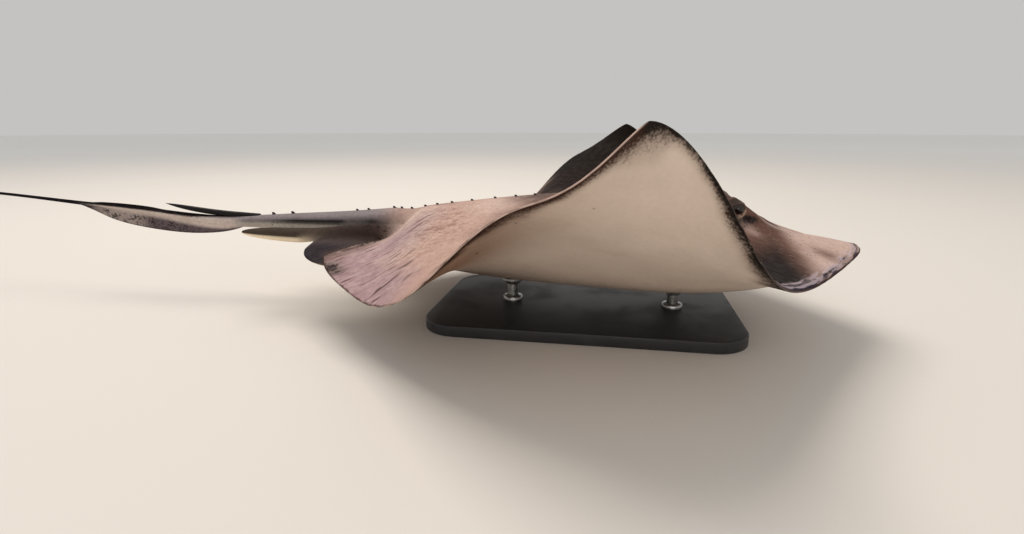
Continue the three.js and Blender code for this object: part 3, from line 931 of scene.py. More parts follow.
def new_group(name: str, inputs: dict[str, str], output: str, kind: str) -> tuple:
    """An empty shader node group.

    Args:
        name: The group's name.
        inputs: The socket type of each input, by name.
        output: The output's name.
        kind: The output's socket type.

    Returns:
        The tree, its graph, its input node's outputs and its output socket.
    """
    tree = bpy.data.node_groups.new(name, "ShaderNodeTree")
    for key, socket in inputs.items():
        tree.interface.new_socket(name=key, in_out="INPUT", socket_type="NodeSocket" + socket)
    tree.interface.new_socket(name=output, in_out="OUTPUT", socket_type="NodeSocket" + kind)
    graph = Graph(tree)
    given = tree.nodes.new("NodeGroupInput").outputs
    taken = tree.nodes.new("NodeGroupOutput").inputs[output]
    return tree, graph, given, taken


@dataclass
class Effects:
    """The surface effects that several finishes share, as node groups."""

    mottle: NodeTree = field(init=False)
    speckle: NodeTree = field(init=False)
    grain: NodeTree = field(init=False)

    def __post_init__(self) -> None:
        """Build each group once."""
        self.mottle = self.build_mottle()
        self.speckle = self.build_speckle()
        self.grain = self.build_grain()

    def build_mottle(self) -> NodeTree:
        """Cloudy patches: a mask from 0 to 1 with soft or hard borders."""
        inputs = {"Vector": "Vector", "Scale": "Float", "Low": "Float", "High": "Float"}
        tree, graph, given, taken = new_group("cloudy patches", inputs, "Mask", "Float")
        cloud = graph.noise(given["Vector"], given["Scale"], 5.0, 0.4)
        span = {"Value": cloud, "From Min": given["Low"], "From Max": given["High"]}
        mask = graph.node("MapRange", span, interpolation_type="SMOOTHSTEP").outputs[0]
        tree.links.new(mask, taken)
        return tree

    def build_speckle(self) -> NodeTree:
        """Ragged dots whose number grows with Amount, 0 for none and 1 for all over."""
        inputs = {"Vector": "Vector", "Scale": "Float", "Amount": "Float"}
        tree, graph, given, taken = new_group("ragged speckle", inputs, "Mask", "Float")
        fine = graph.noise(given["Vector"], given["Scale"], 3.0, 0.3)
        coarse = graph.noise(given["Vector"], graph.times(given["Scale"], 0.27), 2.0)
        both = graph.plus(graph.times(fine, 0.6), graph.times(coarse, 0.4))
        bar = graph.ramp(given["Amount"], 0.0, 1.0, (0.70, 0.30))
        tree.links.new(graph.times(graph.minus(both, bar), 11.0, clamp=True), taken)
        return tree

    def build_grain(self) -> NodeTree:
        """The height of a fine grain: small pits in a soft, uneven ground."""
        inputs = {"Vector": "Vector", "Scale": "Float", "Pits": "Float"}
        tree, graph, given, taken = new_group("fine grain", inputs, "Height", "Float")
        ground = graph.noise(given["Vector"], given["Scale"], 4.0)
        pit = graph.ramp(graph.cells(given["Vector"], given["Scale"]), 0.05, 0.35)
        pit = graph.times(pit, given["Pits"])
        tree.links.new(graph.plus(ground, pit), taken)
        return tree


def new_material(name: str) -> tuple[Material, Graph, Node, Value]:
    """A material with its graph, its main shader and its object coordinates."""
    material = bpy.data.materials.new(name)
    material.use_nodes = True
    graph = Graph(material.node_tree)
    shader = material.node_tree.nodes["Principled BSDF"]
    place = graph.node("TexCoord").outputs["Object"]
    return material, graph, shader, place


def set_shader(shader: Node, **numbers: float | tuple) -> None:
    """Set constants on a shader's sockets; words are joined by underscores."""
    sockets = {socket.name.lower().replace(" ", "_"): socket for socket in shader.inputs}
    for key, value in numbers.items():
        sockets[key].default_value = value


def feed(graph: Graph, shader: Node, colour: Value, roughness: Value) -> None:
    """Link a finish's colour and roughness to its shader."""
    graph.tree.links.new(colour, shader.inputs["Base Color"])
    graph.tree.links.new(roughness, shader.inputs["Roughness"])


def emboss(
    graph: Graph, shader: Node, height: Value, strength: float, distance: float
) -> None:
    """Link a height, of so many metres, to a shader's normal.

    Args:
        graph: The material's graph.
        shader: The main shader.
        height: The height, 0 to 1.
        strength: How strong the relief is.
        distance: How high it is, in metres.
    """
    inputs = {"Strength": strength, "Distance": distance, "Height": height}
    bump = graph.node("Bump", inputs)
    graph.tree.links.new(bump.outputs[0], shader.inputs["Normal"])


def dress(obj: Object, material: Material) -> None:
    """Give an object one material."""
    obj.data.materials.clear()
    obj.data.materials.append(material)


# ---- Finishes ------------------------------------------------------------------


@dataclass(frozen=True)
class Ground:
    """What the layers of the skin's colour read: its marks, places and shared effects."""

    graph: Graph
    effects: Effects
    place: Value
    under: Value
    above: Value
    margin: Value


@dataclass(frozen=True)
class SkinFinish:
    """The skin's shading: broad colours from the mesh, broken up by finer marks."""

    dark: str = "1f1818"
    purple: str = "211d2d"
    navy_at: Triple = (168, -178, 90)
    bloom: str = "bfaeb4"
    pale: str = "dccabf"
    rust: str = "41292a"
    spot: str = "1c1412"
    cloud: str = "a9958f"
    fleck: str = "a38f88"
    ray: str = "6f5a5c"
    veil: str = "6b4c3e"
    band_ahead: str = "120c0b"
    band_behind: str = "36221a"
    lip: str = "35191c"
    pale_rim: str = "c9aea2"
    lead_rim: str = "95817a"
    hem: str = "4a322c"
    # Painted shade in the mouth, nostrils, gill slits, spiracles and the eyes' lid rims and folds.
    crease: str = "2a1d1a"
    # Tone, size and sharpness of each kind of scratch in the flush, and its strength.
    scratches: tuple = (
        ("7f5a50", 120.0, 0.5, 0.7, 0.6),
        ("dccabf", 420.0, 0.56, 0.66, 0.55),
        ("6d443b", 360.0, 0.44, 0.36, 0.5),
    )
    # Place, radius in millimetres and strength of the larger spots.
    spots: tuple = (
        ((180.2, -99.4, 94.6), 1.7, 1.0),
        ((189.4, -107.1, 91.5), 1.5, 1.0),
        ((148.0, -127.4, 99.7), 1.1, 0.8),
        ((155.5, -125.7, 97.9), 1.0, 0.7),
        ((-72.9, -199.0, 108.8), 1.8, 0.9),
        ((-35.5, -243.9, 140.5), 1.3, 0.7),
        ((15.0, -260.9, 153.5), 1.2, 0.6),
        ((89.9, -269.1, 154.3), 1.7, 0.9),
        ((94.5, -269.9, 149.5), 0.9, 0.8),
    )

    def build(self, effects: Effects) -> Material:
        """The skin's material."""
        material, graph, shader, place = new_material("stingray skin")
        under = graph.mark("under")
        above = graph.minus(1.0, under, clamp=True)
        on = Ground(graph, effects, place, under, above, graph.mark("margin"))
        colour = graph.node("Attribute", attribute_name="tint").outputs["Color"]
        colour = self.clouds(on, colour)
        colour, rays = self.rays(on, colour)
        for layer in (self.marks, self.belly_band, self.snout_edge, self.rear_edge):
            colour = layer(on, colour)
        # Painted shade in the creases and hollows of the head and round the eyes.
        colour = graph.lay(colour, self.crease, graph.mark("crease"))
        rough = graph.ramp(graph.noise(place, 120.0), 0.3, 0.7, (0.5, 0.68))
        feed(graph, shader, colour, rough)
        set_shader(shader, specular_ior_level=0.05, ior=1.4, coat_roughness=0.3)
        self.relief(graph, effects, shader, place, rays)
        return material

    def clouds(self, on: Ground, colour: Value) -> Value:
        """Soft patches of lighter and darker skin, a rusty flush and a dull sandy bloom."""
        graph, effects, place, above = on.graph, on.effects, on.place, on.above
        broad = graph.group(effects.mottle, Vector=place, Scale=26.0, Low=0.35, High=0.7)
        depth = graph.times(broad, graph.ramp(above, 0, 1, (0.1, 0.14)))
        colour = graph.mix(depth, colour, graph.mix(1.0, colour, linear(self.cloud), "MULTIPLY"))
        fine = graph.group(effects.mottle, Vector=place, Scale=260.0, Low=0.38, High=0.64)
        depth = graph.times(fine, graph.ramp(above, 0, 1, (0.05, 0.22)))
        colour = graph.mix(depth, colour, graph.mix(1.0, colour, linear(self.fleck), "MULTIPLY"))
        drawn = graph.stretch(place, (0.35, 1.0, 1.0))
        for tone, scale, low, high, strength in self.scratches:
            scratch = graph.group(effects.mottle, Vector=drawn, Scale=scale, Low=low, High=high)
            scratch = graph.times(scratch, graph.mark("flush"))
            colour = graph.lay(colour, tone, graph.times(scratch, strength))
        bloom = graph.group(effects.mottle, Vector=place, Scale=130.0, Low=0.45, High=0.8)
        bloom = graph.times(bloom, graph.mark("dust"))
        return graph.lay(colour, self.pale, bloom)

    def rays(self, on: Ground, colour: Value) -> tuple[Value, Value]:
        """Fine lines along the fin rays, as a colour and as a height."""
        graph = on.graph
        fan = graph.vector(graph.mark("fan"), graph.mark("reach"))
        away = graph.ramp(graph.mark("join"), 0.97, 0.84)
        line = graph.noise(fan, 1.0, 3.0, 0.25)
        line = graph.plus(graph.times(graph.minus(line, 0.5), away), 0.5)
        streak = graph.times(graph.mark("streak"), away)
        dark = graph.times(graph.ramp(line, 0.52, 0.68), streak)
        colour = graph.lay(colour, self.ray, graph.times(dark, 0.4))
        light = graph.times(graph.ramp(line, 0.46, 0.34), streak)
        colour = graph.lay(colour, self.pale, graph.times(light, 0.2))
        few = graph.noise(graph.stretch(fan, (0.42, 0.6, 1.0)), 1.0, 1.5)
        few = graph.times(graph.ramp(few, 0.60, 0.67), streak)
        colour = graph.lay(colour, self.rust, graph.times(few, 0.8))
        return colour, line

    def marks(self, on: Ground, colour: Value) -> Value:
        """Ragged dusky speckle, fine pores and a few larger spots."""
        graph, effects, place = on.graph, on.effects, on.place
        dusk = graph.mark("dusk")
        fleck = graph.group(effects.speckle, Vector=place, Scale=420.0, Amount=dusk)
        fleck = graph.times(fleck, graph.ramp(dusk, 0.02, 0.2, (0.0, 0.8)))
        colour = graph.lay(colour, self.dark, fleck)
        pore = graph.ramp(graph.cells(place, 120.0), 0.15, 0.08)
        pore = graph.times(pore, graph.mark("pores"))
        colour = graph.lay(colour, self.spot, graph.times(pore, 0.7))
        ragged = graph.times(graph.noise(place, 420.0, 3.0), 1.6 * MM)
        for at, size, strength in self.spots:
            away = graph.plus(graph.distance(place, at), ragged)
            spot = graph.ramp(away, (size + 1.3) * MM, (size + 0.1) * MM, (0.0, strength))
            colour = graph.lay(colour, self.spot, spot)
        return colour

    def belly_band(self, on: Ground, colour: Value) -> Value:
        """The dusky band along the belly's margin, soft inward and finely speckled."""
        graph, place, under, margin = on.graph, on.place, on.under, on.margin
        share = graph.math("DIVIDE", margin, graph.mark("band"))
        fine = graph.times(graph.minus(graph.noise(place, 620.0, 3.0), 0.5), 2.2)
        broad = graph.times(graph.minus(graph.noise(place, 48.0, 1.0), 0.5), 1.9)
        ragged = graph.plus(share, graph.plus(fine, broad))
        speck = graph.ramp(ragged, 1.9, 0.1, (0.0, 0.97))
        veil = graph.ramp(graph.plus(share, broad), 3.0, 0.2, (0.0, 0.55))
        colour = graph.lay(colour, self.veil, graph.times(veil, under))
        tone = graph.mix(graph.mark("trail"), linear(self.band_ahead), linear(self.band_behind))
        return graph.mix(graph.times(speck, under), colour, tone)

    def snout_edge(self, on: Ground, colour: Value) -> Value:
        """The snout's margin: a dark thin lip, then lavender blotches on navy."""
        graph, effects, place, margin = on.graph, on.effects, on.place, on.margin
        lip = graph.times(graph.mark("lip"), on.above)
        along = graph.vector(graph.times(graph.mark("fan"), 0.1), graph.times(margin, 0.25))
        wobble = graph.times(graph.minus(graph.noise(along, 0.9, 2.0), 0.5), 8.0)
        edge = graph.plus(margin, wobble)
        patch = graph.group(effects.mottle, Vector=along, Scale=0.8, Low=0.42, High=0.56)
        away = graph.distance(place, self.navy_at)
        patch = graph.math("MAXIMUM", patch, graph.ramp(away, 26 * MM, 12 * MM))
        near = graph.times(graph.ramp(edge, 10.0, 4.0), lip)
        near = graph.times(near, graph.ramp(patch, 0.0, 1.0, (0.35, 0.95)))
        colour = graph.lay(colour, self.purple, near)
        blotch = graph.group(effects.mottle, Vector=along, Scale=1.5, Low=0.44, High=0.54)
        ring = graph.times(graph.ramp(edge, 13.0, 8.0), graph.ramp(edge, 1.5, 3.5))
        blotch = graph.times(graph.times(blotch, ring), lip)
        colour = graph.lay(colour, self.bloom, graph.times(blotch, 0.6))
        rim = graph.times(graph.ramp(margin, 1.5, 0.6), lip)
        return graph.lay(colour, self.lip, graph.times(rim, 0.8))

    def rear_edge(self, on: Ground, colour: Value) -> Value:
        """The rear margin: a pale rim on the raised fin and a thin brown line on the lobes."""
        graph, place, above, margin = on.graph, on.place, on.above, on.margin
        trail = graph.mark("trail")
        rim = graph.times(graph.ramp(margin, 0.75, 0.2), trail)
        colour = graph.lay(colour, self.pale_rim, rim)
        rim = graph.times(graph.ramp(margin, 0.6, 0.15), graph.mark("lead"))
        colour = graph.lay(colour, self.lead_rim, graph.times(rim, 0.55))
        lobe = graph.times(graph.mark("hem"), above)
        ragged = graph.plus(margin, graph.times(graph.noise(place, 160.0, 3.0), 5.0))
        line = graph.times(graph.ramp(ragged, 4.6, 3.0), lobe)
        return graph.lay(colour, self.hem, graph.times(line, 0.8))

    def relief(
        self, graph: Graph, effects: Effects, shader: Node, place: Value, rays: Value
    ) -> None:
        """Pores, wrinkles and fin rays as a bump.

        Args:
            graph: The material's graph.
            effects: The shared effects.
            shader: The main shader.
            place: Object coordinates.
            rays: The lines along the fin rays.
        """
        grain = graph.group(effects.grain, Vector=place, Scale=900.0, Pits=0.5)
        fold = graph.noise(place, 130.0, 5.0, 0.6)
        lines = graph.times(rays, graph.ramp(graph.mark("streak"), 0, 1, (0.2, 1.0)))
        height = graph.plus(graph.times(grain, 0.25), graph.times(fold, 0.7))
        emboss(graph, shader, graph.plus(height, lines), 0.35, 0.0012)


@dataclass(frozen=True)
class HornFinish:
    """Hard, ribbed horn of the sting and the thorns."""

    name: str
    body: str
    ridge: str
    stretch: Triple
    roughness: Pair
    gloss: float
    fleck: str = "15100f"

    def build(self, effects: Effects) -> Material:
        """The horn's material."""
        material, graph, shader, place = new_material(self.name)
        drawn = graph.stretch(place, self.stretch)
        streak = graph.group(effects.mottle, Vector=drawn, Scale=300.0, Low=0.38, High=0.62)
        colour = graph.mix(streak, linear(self.body), linear(self.ridge))
        fleck = graph.group(effects.speckle, Vector=place, Scale=800.0, Amount=0.25)
        colour = graph.lay(colour, self.fleck, fleck)
        feed(graph, shader, colour, graph.ramp(streak, 0, 1, self.roughness))
        set_shader(shader, specular_ior_level=self.gloss)
        grain = graph.group(effects.grain, Vector=drawn, Scale=700.0, Pits=0.3)
        emboss(graph, shader, grain, 0.5, 0.0005)
        return material


@dataclass(frozen=True)
class EyeFinish:
    """A wet eye: a wide dark pupil under a lobed curtain, in a bronze iris."""

    iris: str = "30231a"
    iris_dark: str = "150e0a"
    pupil: str = "050404"
    white: str = "1d1714"

    def build(self, effects: Effects) -> Material:
        """The eye's material."""
        material, graph, shader, place = new_material("stingray eye")
        gaze, turn = graph.mark("gaze"), graph.mark("turn")
        fibre = graph.noise(graph.vector(graph.times(turn, 9.0), gaze), 2.2, 4.0, 0.3)
        iris = graph.mix(graph.ramp(fibre, 0.35, 0.65), linear(self.iris_dark), linear(self.iris))
        fleck = graph.group(effects.speckle, Vector=place, Scale=1500.0, Amount=0.35)
        iris = graph.lay(iris, self.iris_dark, fleck)
        edge = graph.plus(gaze, graph.times(fibre, 0.04))
        colour = graph.lay(iris, self.white, graph.ramp(edge, 0.74, 0.80))
        pupil = graph.ramp(graph.mark("pupil"), 0.45, 0.55)
        colour = graph.lay(colour, self.pupil, pupil)
        feed(graph, shader, colour, graph.ramp(fibre, 0.2, 0.8, (0.12, 0.2)))
        set_shader(shader, coat_weight=0.5, coat_roughness=0.04, ior=1.36)
        emboss(graph, shader, fibre, 0.15, 0.0002)
        return material


@dataclass(frozen=True)
class CoatedFinish:
    """A powder-coated or moulded part of the stand, with slight wear and dust."""

    name: str
    body: str
    worn: str
    scale: float
    roughness: Pair
    depth: float
    dust: str = "6a6866"

    def build(self, effects: Effects) -> Material:
        """The coating's material."""
        material, graph, shader, place = new_material(self.name)
        cloud = graph.group(effects.mottle, Vector=place, Scale=18.0, Low=0.4, High=0.75)
        colour = graph.mix(graph.times(cloud, 0.5), linear(self.body), linear(self.worn))
        dust = graph.group(effects.speckle, Vector=place, Scale=1400.0, Amount=0.2)
        colour = graph.lay(colour, self.dust, graph.times(dust, 0.35))
        feed(graph, shader, colour, graph.ramp(cloud, 0, 1, self.roughness))
        grain = graph.group(effects.grain, Vector=place, Scale=self.scale, Pits=0.2)
        emboss(graph, shader, grain, 0.4, self.depth)
        return material


@dataclass(frozen=True)
class SteelFinish:
    """Turned, brushed steel."""

    bright: str = "c9c8c5"
    dull: str = "8f8d8a"

    def build(self, effects: Effects) -> Material:
        """The steel's material."""
        material, graph, shader, place = new_material("brushed steel")
        lines = graph.noise(graph.stretch(place, (1.0, 1.0, 14.0)), 260.0, 4.0)
        colour = graph.mix(graph.ramp(lines, 0.3, 0.7), linear(self.dull), linear(self.bright))
        smudge = graph.group(effects.mottle, Vector=place, Scale=60.0, Low=0.45, High=0.7)
        rough = graph.plus(graph.ramp(lines, 0, 1, (0.24, 0.36)), graph.times(smudge, 0.1))
        feed(graph, shader, colour, rough)
        set_shader(shader, metallic=1.0)
        emboss(graph, shader, lines, 0.2, 0.0002)
        return material


# ---- Pieces of the animal ------------------------------------------------------


@dataclass(frozen=True)
class EyeForm:
    """Where an eye sits, where it looks, and how its lids open over it."""

    side: Side
    centre: Triple = (143, 41.5, 40.5)
    radius: float = 7.6
    gaze: Triple = (0.10, 0.98, 0.10)
    open_along: float = 0.80
    open_up: float = 0.64
    lid_thick: float = 1.5
    brow: float = 3.8
    brow_turn: float = 2.05
    brow_wide: float = 0.45
    creases: Knots = ((1.45, 0.7), (1.85, 0.6), (2.3, 0.5))
    reach: float = 26.0

    def middle(self) -> Array:
        """The eyeball's centre."""
        x, y, z = self.centre
        return np.array([x, y * self.side.value, z + MID_HEIGHT])

    def frame(self) -> tuple[Array, Array, Array]:
        """Unit vectors along the gaze, forward across it and up across it."""
        x, y, z = self.gaze
        gaze = np.array([x, y * self.side.value, z])
        gaze /= np.linalg.norm(gaze)
        ahead = np.array([1.0, 0, 0]) - gaze[0] * gaze
        ahead /= np.linalg.norm(ahead)
        up = np.cross(ahead, gaze) * -self.side.value
        return gaze, ahead, up * np.sign(up[2])

    def polar(self, points: Array) -> tuple[Array, Array, Array]:
        """Distance from the centre, angle off the gaze and turn about it."""
        gaze, ahead, up = self.frame()
        away = points - self.middle()
        length = np.maximum(np.linalg.norm(away, axis=-1), 1e-6)
        off = np.arccos(np.clip(away @ gaze / length, -1, 1))
        return length, off, np.arctan2(away @ up, away @ ahead)

    def opening(self, off: Array, turn: Array) -> Array:
        """The angle off the gaze as a share of the lids' opening, 1 at their edge."""
        wide = np.hypot(np.cos(turn) / self.open_along, np.sin(turn) / self.open_up)
        return off * wide

    def shape(self, points: Array) -> Array:
        """The skin's points moved so that they make a socket and lids round the eye."""
        length, off, turn = self.polar(points)
        share = self.opening(off, turn)
        ball = self.radius
        inside = ball - 2.2 + 2.4 * rise(share, 0.84, 0.15)
        roll = (self.lid_thick - 0.2) * rise(share, 0.98, 0.2)
        crease = sum(
            depth * np.exp(-(((share - at) / 0.11) ** 2))
            for at, depth in self.creases
        )
        crease = crease * smooth(np.sin(turn) * 2 + 0.6)
        lid = inside + roll - crease
        soft = 1.2
        brow = self.brow * np.exp(-(((turn - self.brow_turn) / self.brow_wide) ** 2))
        cover = ball + 0.7 - crease + brow * rise(share, 1.1, 0.8)
        gap = length - cover
        over = cover + (gap + np.sqrt(gap * gap + soft * soft)) / 2
        blend = rise(share, 1.25, 0.45)
        target = lid + (over - lid) * blend
        fade = smooth((self.reach - length) / 8)
        scale = 1 + (target / length - 1) * fade
        return self.middle() + (points - self.middle()) * scale[:, None]


@dataclass
class Eyeball:
    """One eye: a ball with a bulging cornea over a curtained pupil."""

    form: EyeForm
    cornea: float = 0.55
    cornea_angle: float = 0.62
    segments: int = 56
    pupil: Pair = (0.58, 0.50)
    curtain: float = 0.02

    def build(self, material: Material) -> Object:
        """Model the ball, mark its iris and pupil, and dress it."""
        gaze, _, up = self.form.frame()
        deselect()
        bpy.ops.mesh.primitive_uv_sphere_add(
            segments=self.segments,
            ring_count=self.segments // 2,
            radius=self.form.radius * MM,
        )
        obj = bpy.context.object
        obj.name = obj.data.name = f"eyeball_{self.form.side.word}"
        turn = Vector(gaze).to_track_quat("Z", "Y").to_matrix().to_4x4()
        obj.matrix_world = Matrix.Translation(Vector(self.form.middle() * MM)) @ turn
        bpy.ops.object.transform_apply(location=True, rotation=True, scale=True)
        points = places(obj)
        length, off, around = self.form.polar(points)
        bulge = self.cornea * smooth(1 - off / self.cornea_angle)
        centre = self.form.middle()
        move_to(obj, centre + (points - centre) * (1 + bulge / length)[:, None])
        set_mark(obj, "gaze", off)
        set_mark(obj, "turn", around)
        across = off * np.cos(around)
        upward = off * np.sin(around)
        wide, high = self.pupil
        pupil = 1 - rise(np.hypot(across / wide, (upward + 0.02) / high), 0.96, 0.08)
        curtain = rise(upward + 0.8 * across**2, self.curtain, 0.05)
        set_mark(obj, "pupil", pupil * (1 - curtain))
        bpy.ops.object.shade_smooth()
        dress(obj, material)
        return obj


@dataclass
class SkinColours:
    """The broad colours painted on the skin, before its finer marks; some of them are painted shade and
    painted highlights.
    """

    back: str = "c3a396"
    # Painted highlight on the rear of the back.
    back_pale: str = "dec6bb"
    flush: str = "a98277"
    middle: str = "5e514d"
    rear: str = "ab9096"
    rear_edge: str = "3a2d2d"
    trunk: str = "604a3f"
    # Painted shade on the tops of the fins, deepest towards their tips.
    wing: str = "211713"
    wing_tip: str = "1c1612"
    head: str = "694c42"
    snout: str = "cdb3a8"
    # Partly the snout's own dark colour, partly painted shade on its flanks and beside its crests.
    snout_dark: str = "1b1311"
    bloom: str = "b3a3a6"
    # Painted highlight along the crests from the eyes to the snout.
    crest: str = "dcc9bf"
    brow: str = "6a5d57"
    crescent: str = "c0a692"
    # Painted shade in the eye's socket.
    socket: str = "1c1819"
    belly: str = "dbcabb"
    # Painted shade on the belly's low and rear parts.
    belly_low: str = "5a463a"
    belly_rear: str = "91715c"
    tail_top: str = "8c8487"
    tail_band: str = "1b1817"
    tail_flank: str = "a9a39a"
    tail_light: str = "cabcb3"
    tail_fold: str = "63575b"
    keel: str = "0e0b0e"
    whip: str = "141016"
    clasper_top: str = "493f37"
    clasper_low: str = "f3e2c5"
    pelvic: str = "28252c"
    # Painted sheen along the tops of the pelvic fins.
    pelvic_light: str = "797170"


class Plan:
    """Where each point of the skin lies in plan, read once from the mesh's marks."""

    def __init__(self, obj: Object) -> None:
        """Read the marks of an object."""
        self.points = places(obj)
        self.part = np.rint(mark_of(obj, "part"))
        self.x = mark_of(obj, "plan_x")
        self.out = np.abs(mark_of(obj, "plan_s"))
        self.ray = mark_of(obj, "ray")
        self.under = mark_of(obj, "under")
        self.margin = mark_of(obj, "margin")
        self.top = self.is_part(Part.DISC) * (1 - self.under)
        self.low = self.is_part(Part.DISC) * self.under
        across = np.hypot((self.x - 25) / 165, (self.out - 290) / 200)
        self.sway = 9 * np.sin(self.out / 17 + self.x / 31) + 6 * np.sin(self.out / 7.3 - self.x / 13)
        # Where the tops of the fins take painted shade.
        self.wing = fall(across, 1.66, 0.95) * rise(self.x + self.sway, -122, 70)
        self.flank = rise(self.ray, 0.165, 0.05) * (1 - rise(self.ray, 0.31, 0.04))
        depth = TailForm().fold(self.x) / np.maximum(TailForm().half_height(self.x), 0.1)
        self.fold_share = -self.ray / np.maximum(depth, 1.0)
        self.fold_from = TailForm().fold_dark(self.x)

    def is_part(self, part: Part) -> Array:
        """1 on the points of one part and 0 elsewhere."""
        return (self.part == part.value) * 1.0


@dataclass(frozen=True)
class Patch:
    """A soft round patch of colour on the back: its middle and reach in plan."""

    tone: str
    at: Pair
    size: Pair
    strength: float = 1.0


class Painter:
    """Lays colours over points with masks, as an airbrush does."""

    def __init__(self, count: int, ground: str) -> None:
        """Start from one colour all over."""
        self.colour = np.tile(np.array(linear(ground)[:3]), (count, 1))

    def lay(self, code: str, mask: Array) -> None:
        """Blend a colour in where the mask is high."""
        mask = np.clip(mask, 0, 1)[:, None]
        self.colour = self.colour * (1 - mask) + np.array(linear(code)[:3]) * mask


@dataclass
class Skin:
    """The one skin over all the flesh, from the snout to the tip of the tail."""

    disc: DiscMesh = field(default_factory=DiscMesh)
    tail: TailForm = TailForm()
    pelvic: PelvicForm = PelvicForm()
    clasper: ClasperForm = ClasperForm()
    colours: SkinColours = field(default_factory=SkinColours)
    join_behind: float = -120.0
    join_reach: float = 20.0
    join_more: float = 0.9
    join_passes: int = 60
    join_steps: int = 10
    chunks: int = 60
    blend_passes: int = 40
    blended: tuple[str, ...] = ("dusk", "streak", "flush", "dust", "hem", "under")
    # The first two patches are painted highlights on the rear of the back.
    patches: tuple[Patch, ...] = (
        Patch("back_pale", (-186, 42), (34, 60)),
        Patch("back_pale", (-95, 26), (34, 26), 0.7),
        Patch("flush", (-140, 48), (24, 46), 0.3),
        Patch("middle", (-50, 4), (36, 24), 0.9),
    )
    band: Profile = Profile(
        ((0.0, 5), (0.12, 8), (0.22, 13), (0.26, 14), (0.295, 8), (0.325, 5), (0.36, 3.4))
        + ((0.39, 3.6), (0.41, 7), (0.43, 8.5), (0.455, 8), (0.485, 4), (0.52, 5))
        + ((0.545, 11), (0.6, 7), (0.8, 5), (1.0, 4))
    )

    def build(self, eyes: list[EyeForm], finish: SkinFinish, effects: Effects) -> Object:
        """Join the shells into one skin, soften the joins, open the eyes and paint it.

        Args:
            eyes: The forms of both eyes.
            finish: Its finish.
            effects: The shared effects.

        Returns:
            The skin.
        """
        obj = self.disc.build()
        obj.name = obj.data.name = "skin"
        others = [self.tail.build()]
        for side in Side:
            others += [self.pelvic.build(side), self.clasper.build(side)]
        for other in others:
            apply_modifier(obj, "BOOLEAN", operation="UNION", solver="MANIFOLD", object=other)
            bpy.data.objects.remove(other)
        self.soften(obj)
        for eye in eyes:
            self.open_eye(obj, eye)
        self.paint(obj, eyes)
        activate(obj)
        bpy.ops.object.shade_smooth()
        dress(obj, finish.build(effects))
        return obj

    def soften(self, obj: Object) -> None:
        """Round the creases where the tail, fins and claspers leave the disc."""
        part = np.rint(mark_of(obj, "part"))
        first, second = edge_ends(obj)
        crease = np.zeros(len(part), bool)
        differs = part[first] != part[second]
        crease[first[differs]] = True
        crease[second[differs]] = True
        points = places(obj)
        joins = points[crease]
        weight = np.zeros(len(points))
        near = np.flatnonzero(points[:, 0] < self.join_behind)
        ahead = rise(points[:, 0], -222, 20) * smooth((points[:, 2] - MID_HEIGHT) / 10)
        reach = self.join_reach * (1 + self.join_more * ahead)
        for group in np.array_split(near, self.chunks):
            away = np.linalg.norm(points[group][:, None] - joins[None], axis=-1).min(-1)
            weight[group] = 1 - smooth(away / reach[group])
        set_mark(obj, "join", weight)
        vertex_group = obj.vertex_groups.new(name="joins")
        for step in np.arange(1, self.join_steps + 1) / self.join_steps:
            chosen = np.flatnonzero(np.abs(weight - step) <= 0.5 / self.join_steps)
            vertex_group.add(chosen.tolist(), float(step), "REPLACE")
        passes = {"iterations": self.join_passes, "vertex_group": "joins"}
        apply_modifier(obj, "SMOOTH", factor=0.5, **passes)
        obj.vertex_groups.clear()

    def open_eye(self, obj: Object, eye: EyeForm) -> None:
        """Shape the socket and lids of one eye, on a finer mesh near it."""
        for cuts in (2, 0):
            points = places(obj)
            length, off, turn = eye.polar(points)
            top = (length < eye.reach) & (mark_of(obj, "under") < 0.5)
            points[top] = eye.shape(points[top])
            move_to(obj, points)
            if cuts:
                fine = top & (eye.opening(off, turn) < 3.4) & (length < 21)
                self.refine(obj, fine, cuts)

    def refine(self, obj: Object, chosen: Array, cuts: int) -> None:
        """Subdivide the faces whose points are all chosen.

        Args:
            obj: The object.
            chosen: Which points are chosen.
            cuts: How often each edge is cut.
        """
        activate(obj)
        obj.data.polygons.foreach_set("select", [False] * len(obj.data.polygons))
        obj.data.edges.foreach_set("select", [False] * len(obj.data.edges))
        obj.data.vertices.foreach_set("select", chosen)
        bpy.ops.object.mode_set(mode="EDIT")
        bpy.ops.mesh.select_mode(type="VERT")
        bpy.ops.mesh.subdivide(number_cuts=cuts)
        bpy.ops.object.mode_set(mode="OBJECT")

    def paint(self, obj: Object, eyes: list[EyeForm]) -> None:
        """Work out the broad colours and the strengths of the finer marks."""
        plan = Plan(obj)
        paint = Painter(len(plan.x), self.colours.back)
        self.paint_back(paint, plan)
        self.paint_head(paint, plan)
        self.paint_belly(paint, plan)
        self.paint_tail(paint, plan)
        self.paint_limbs(paint, plan)
        # Painted shade goes into the belly's mouth, nostrils and gill slits, the spiracles, and the
        # eyes' lid rims and folds.
        crease = plan.low * HeadRelief().grooves(plan.x, plan.out)
        crease += plan.top * HeadRelief().hole(plan.x, plan.out)
        for eye in eyes:
            crease = np.maximum(crease, self.paint_eye(paint, plan, eye))
        set_mark(obj, "crease", crease * 0.85)
        self.strengths(obj, plan)
        marks = [mark_of(obj, name)[:, None] for name in self.blended]
        values = self.blend(obj, np.concatenate([paint.colour, *marks], 1))
        self.keep_tint(obj, values[:, :3])
        for name, column in zip(self.blended, values[:, 3:].T):
            set_mark(obj, name, column)

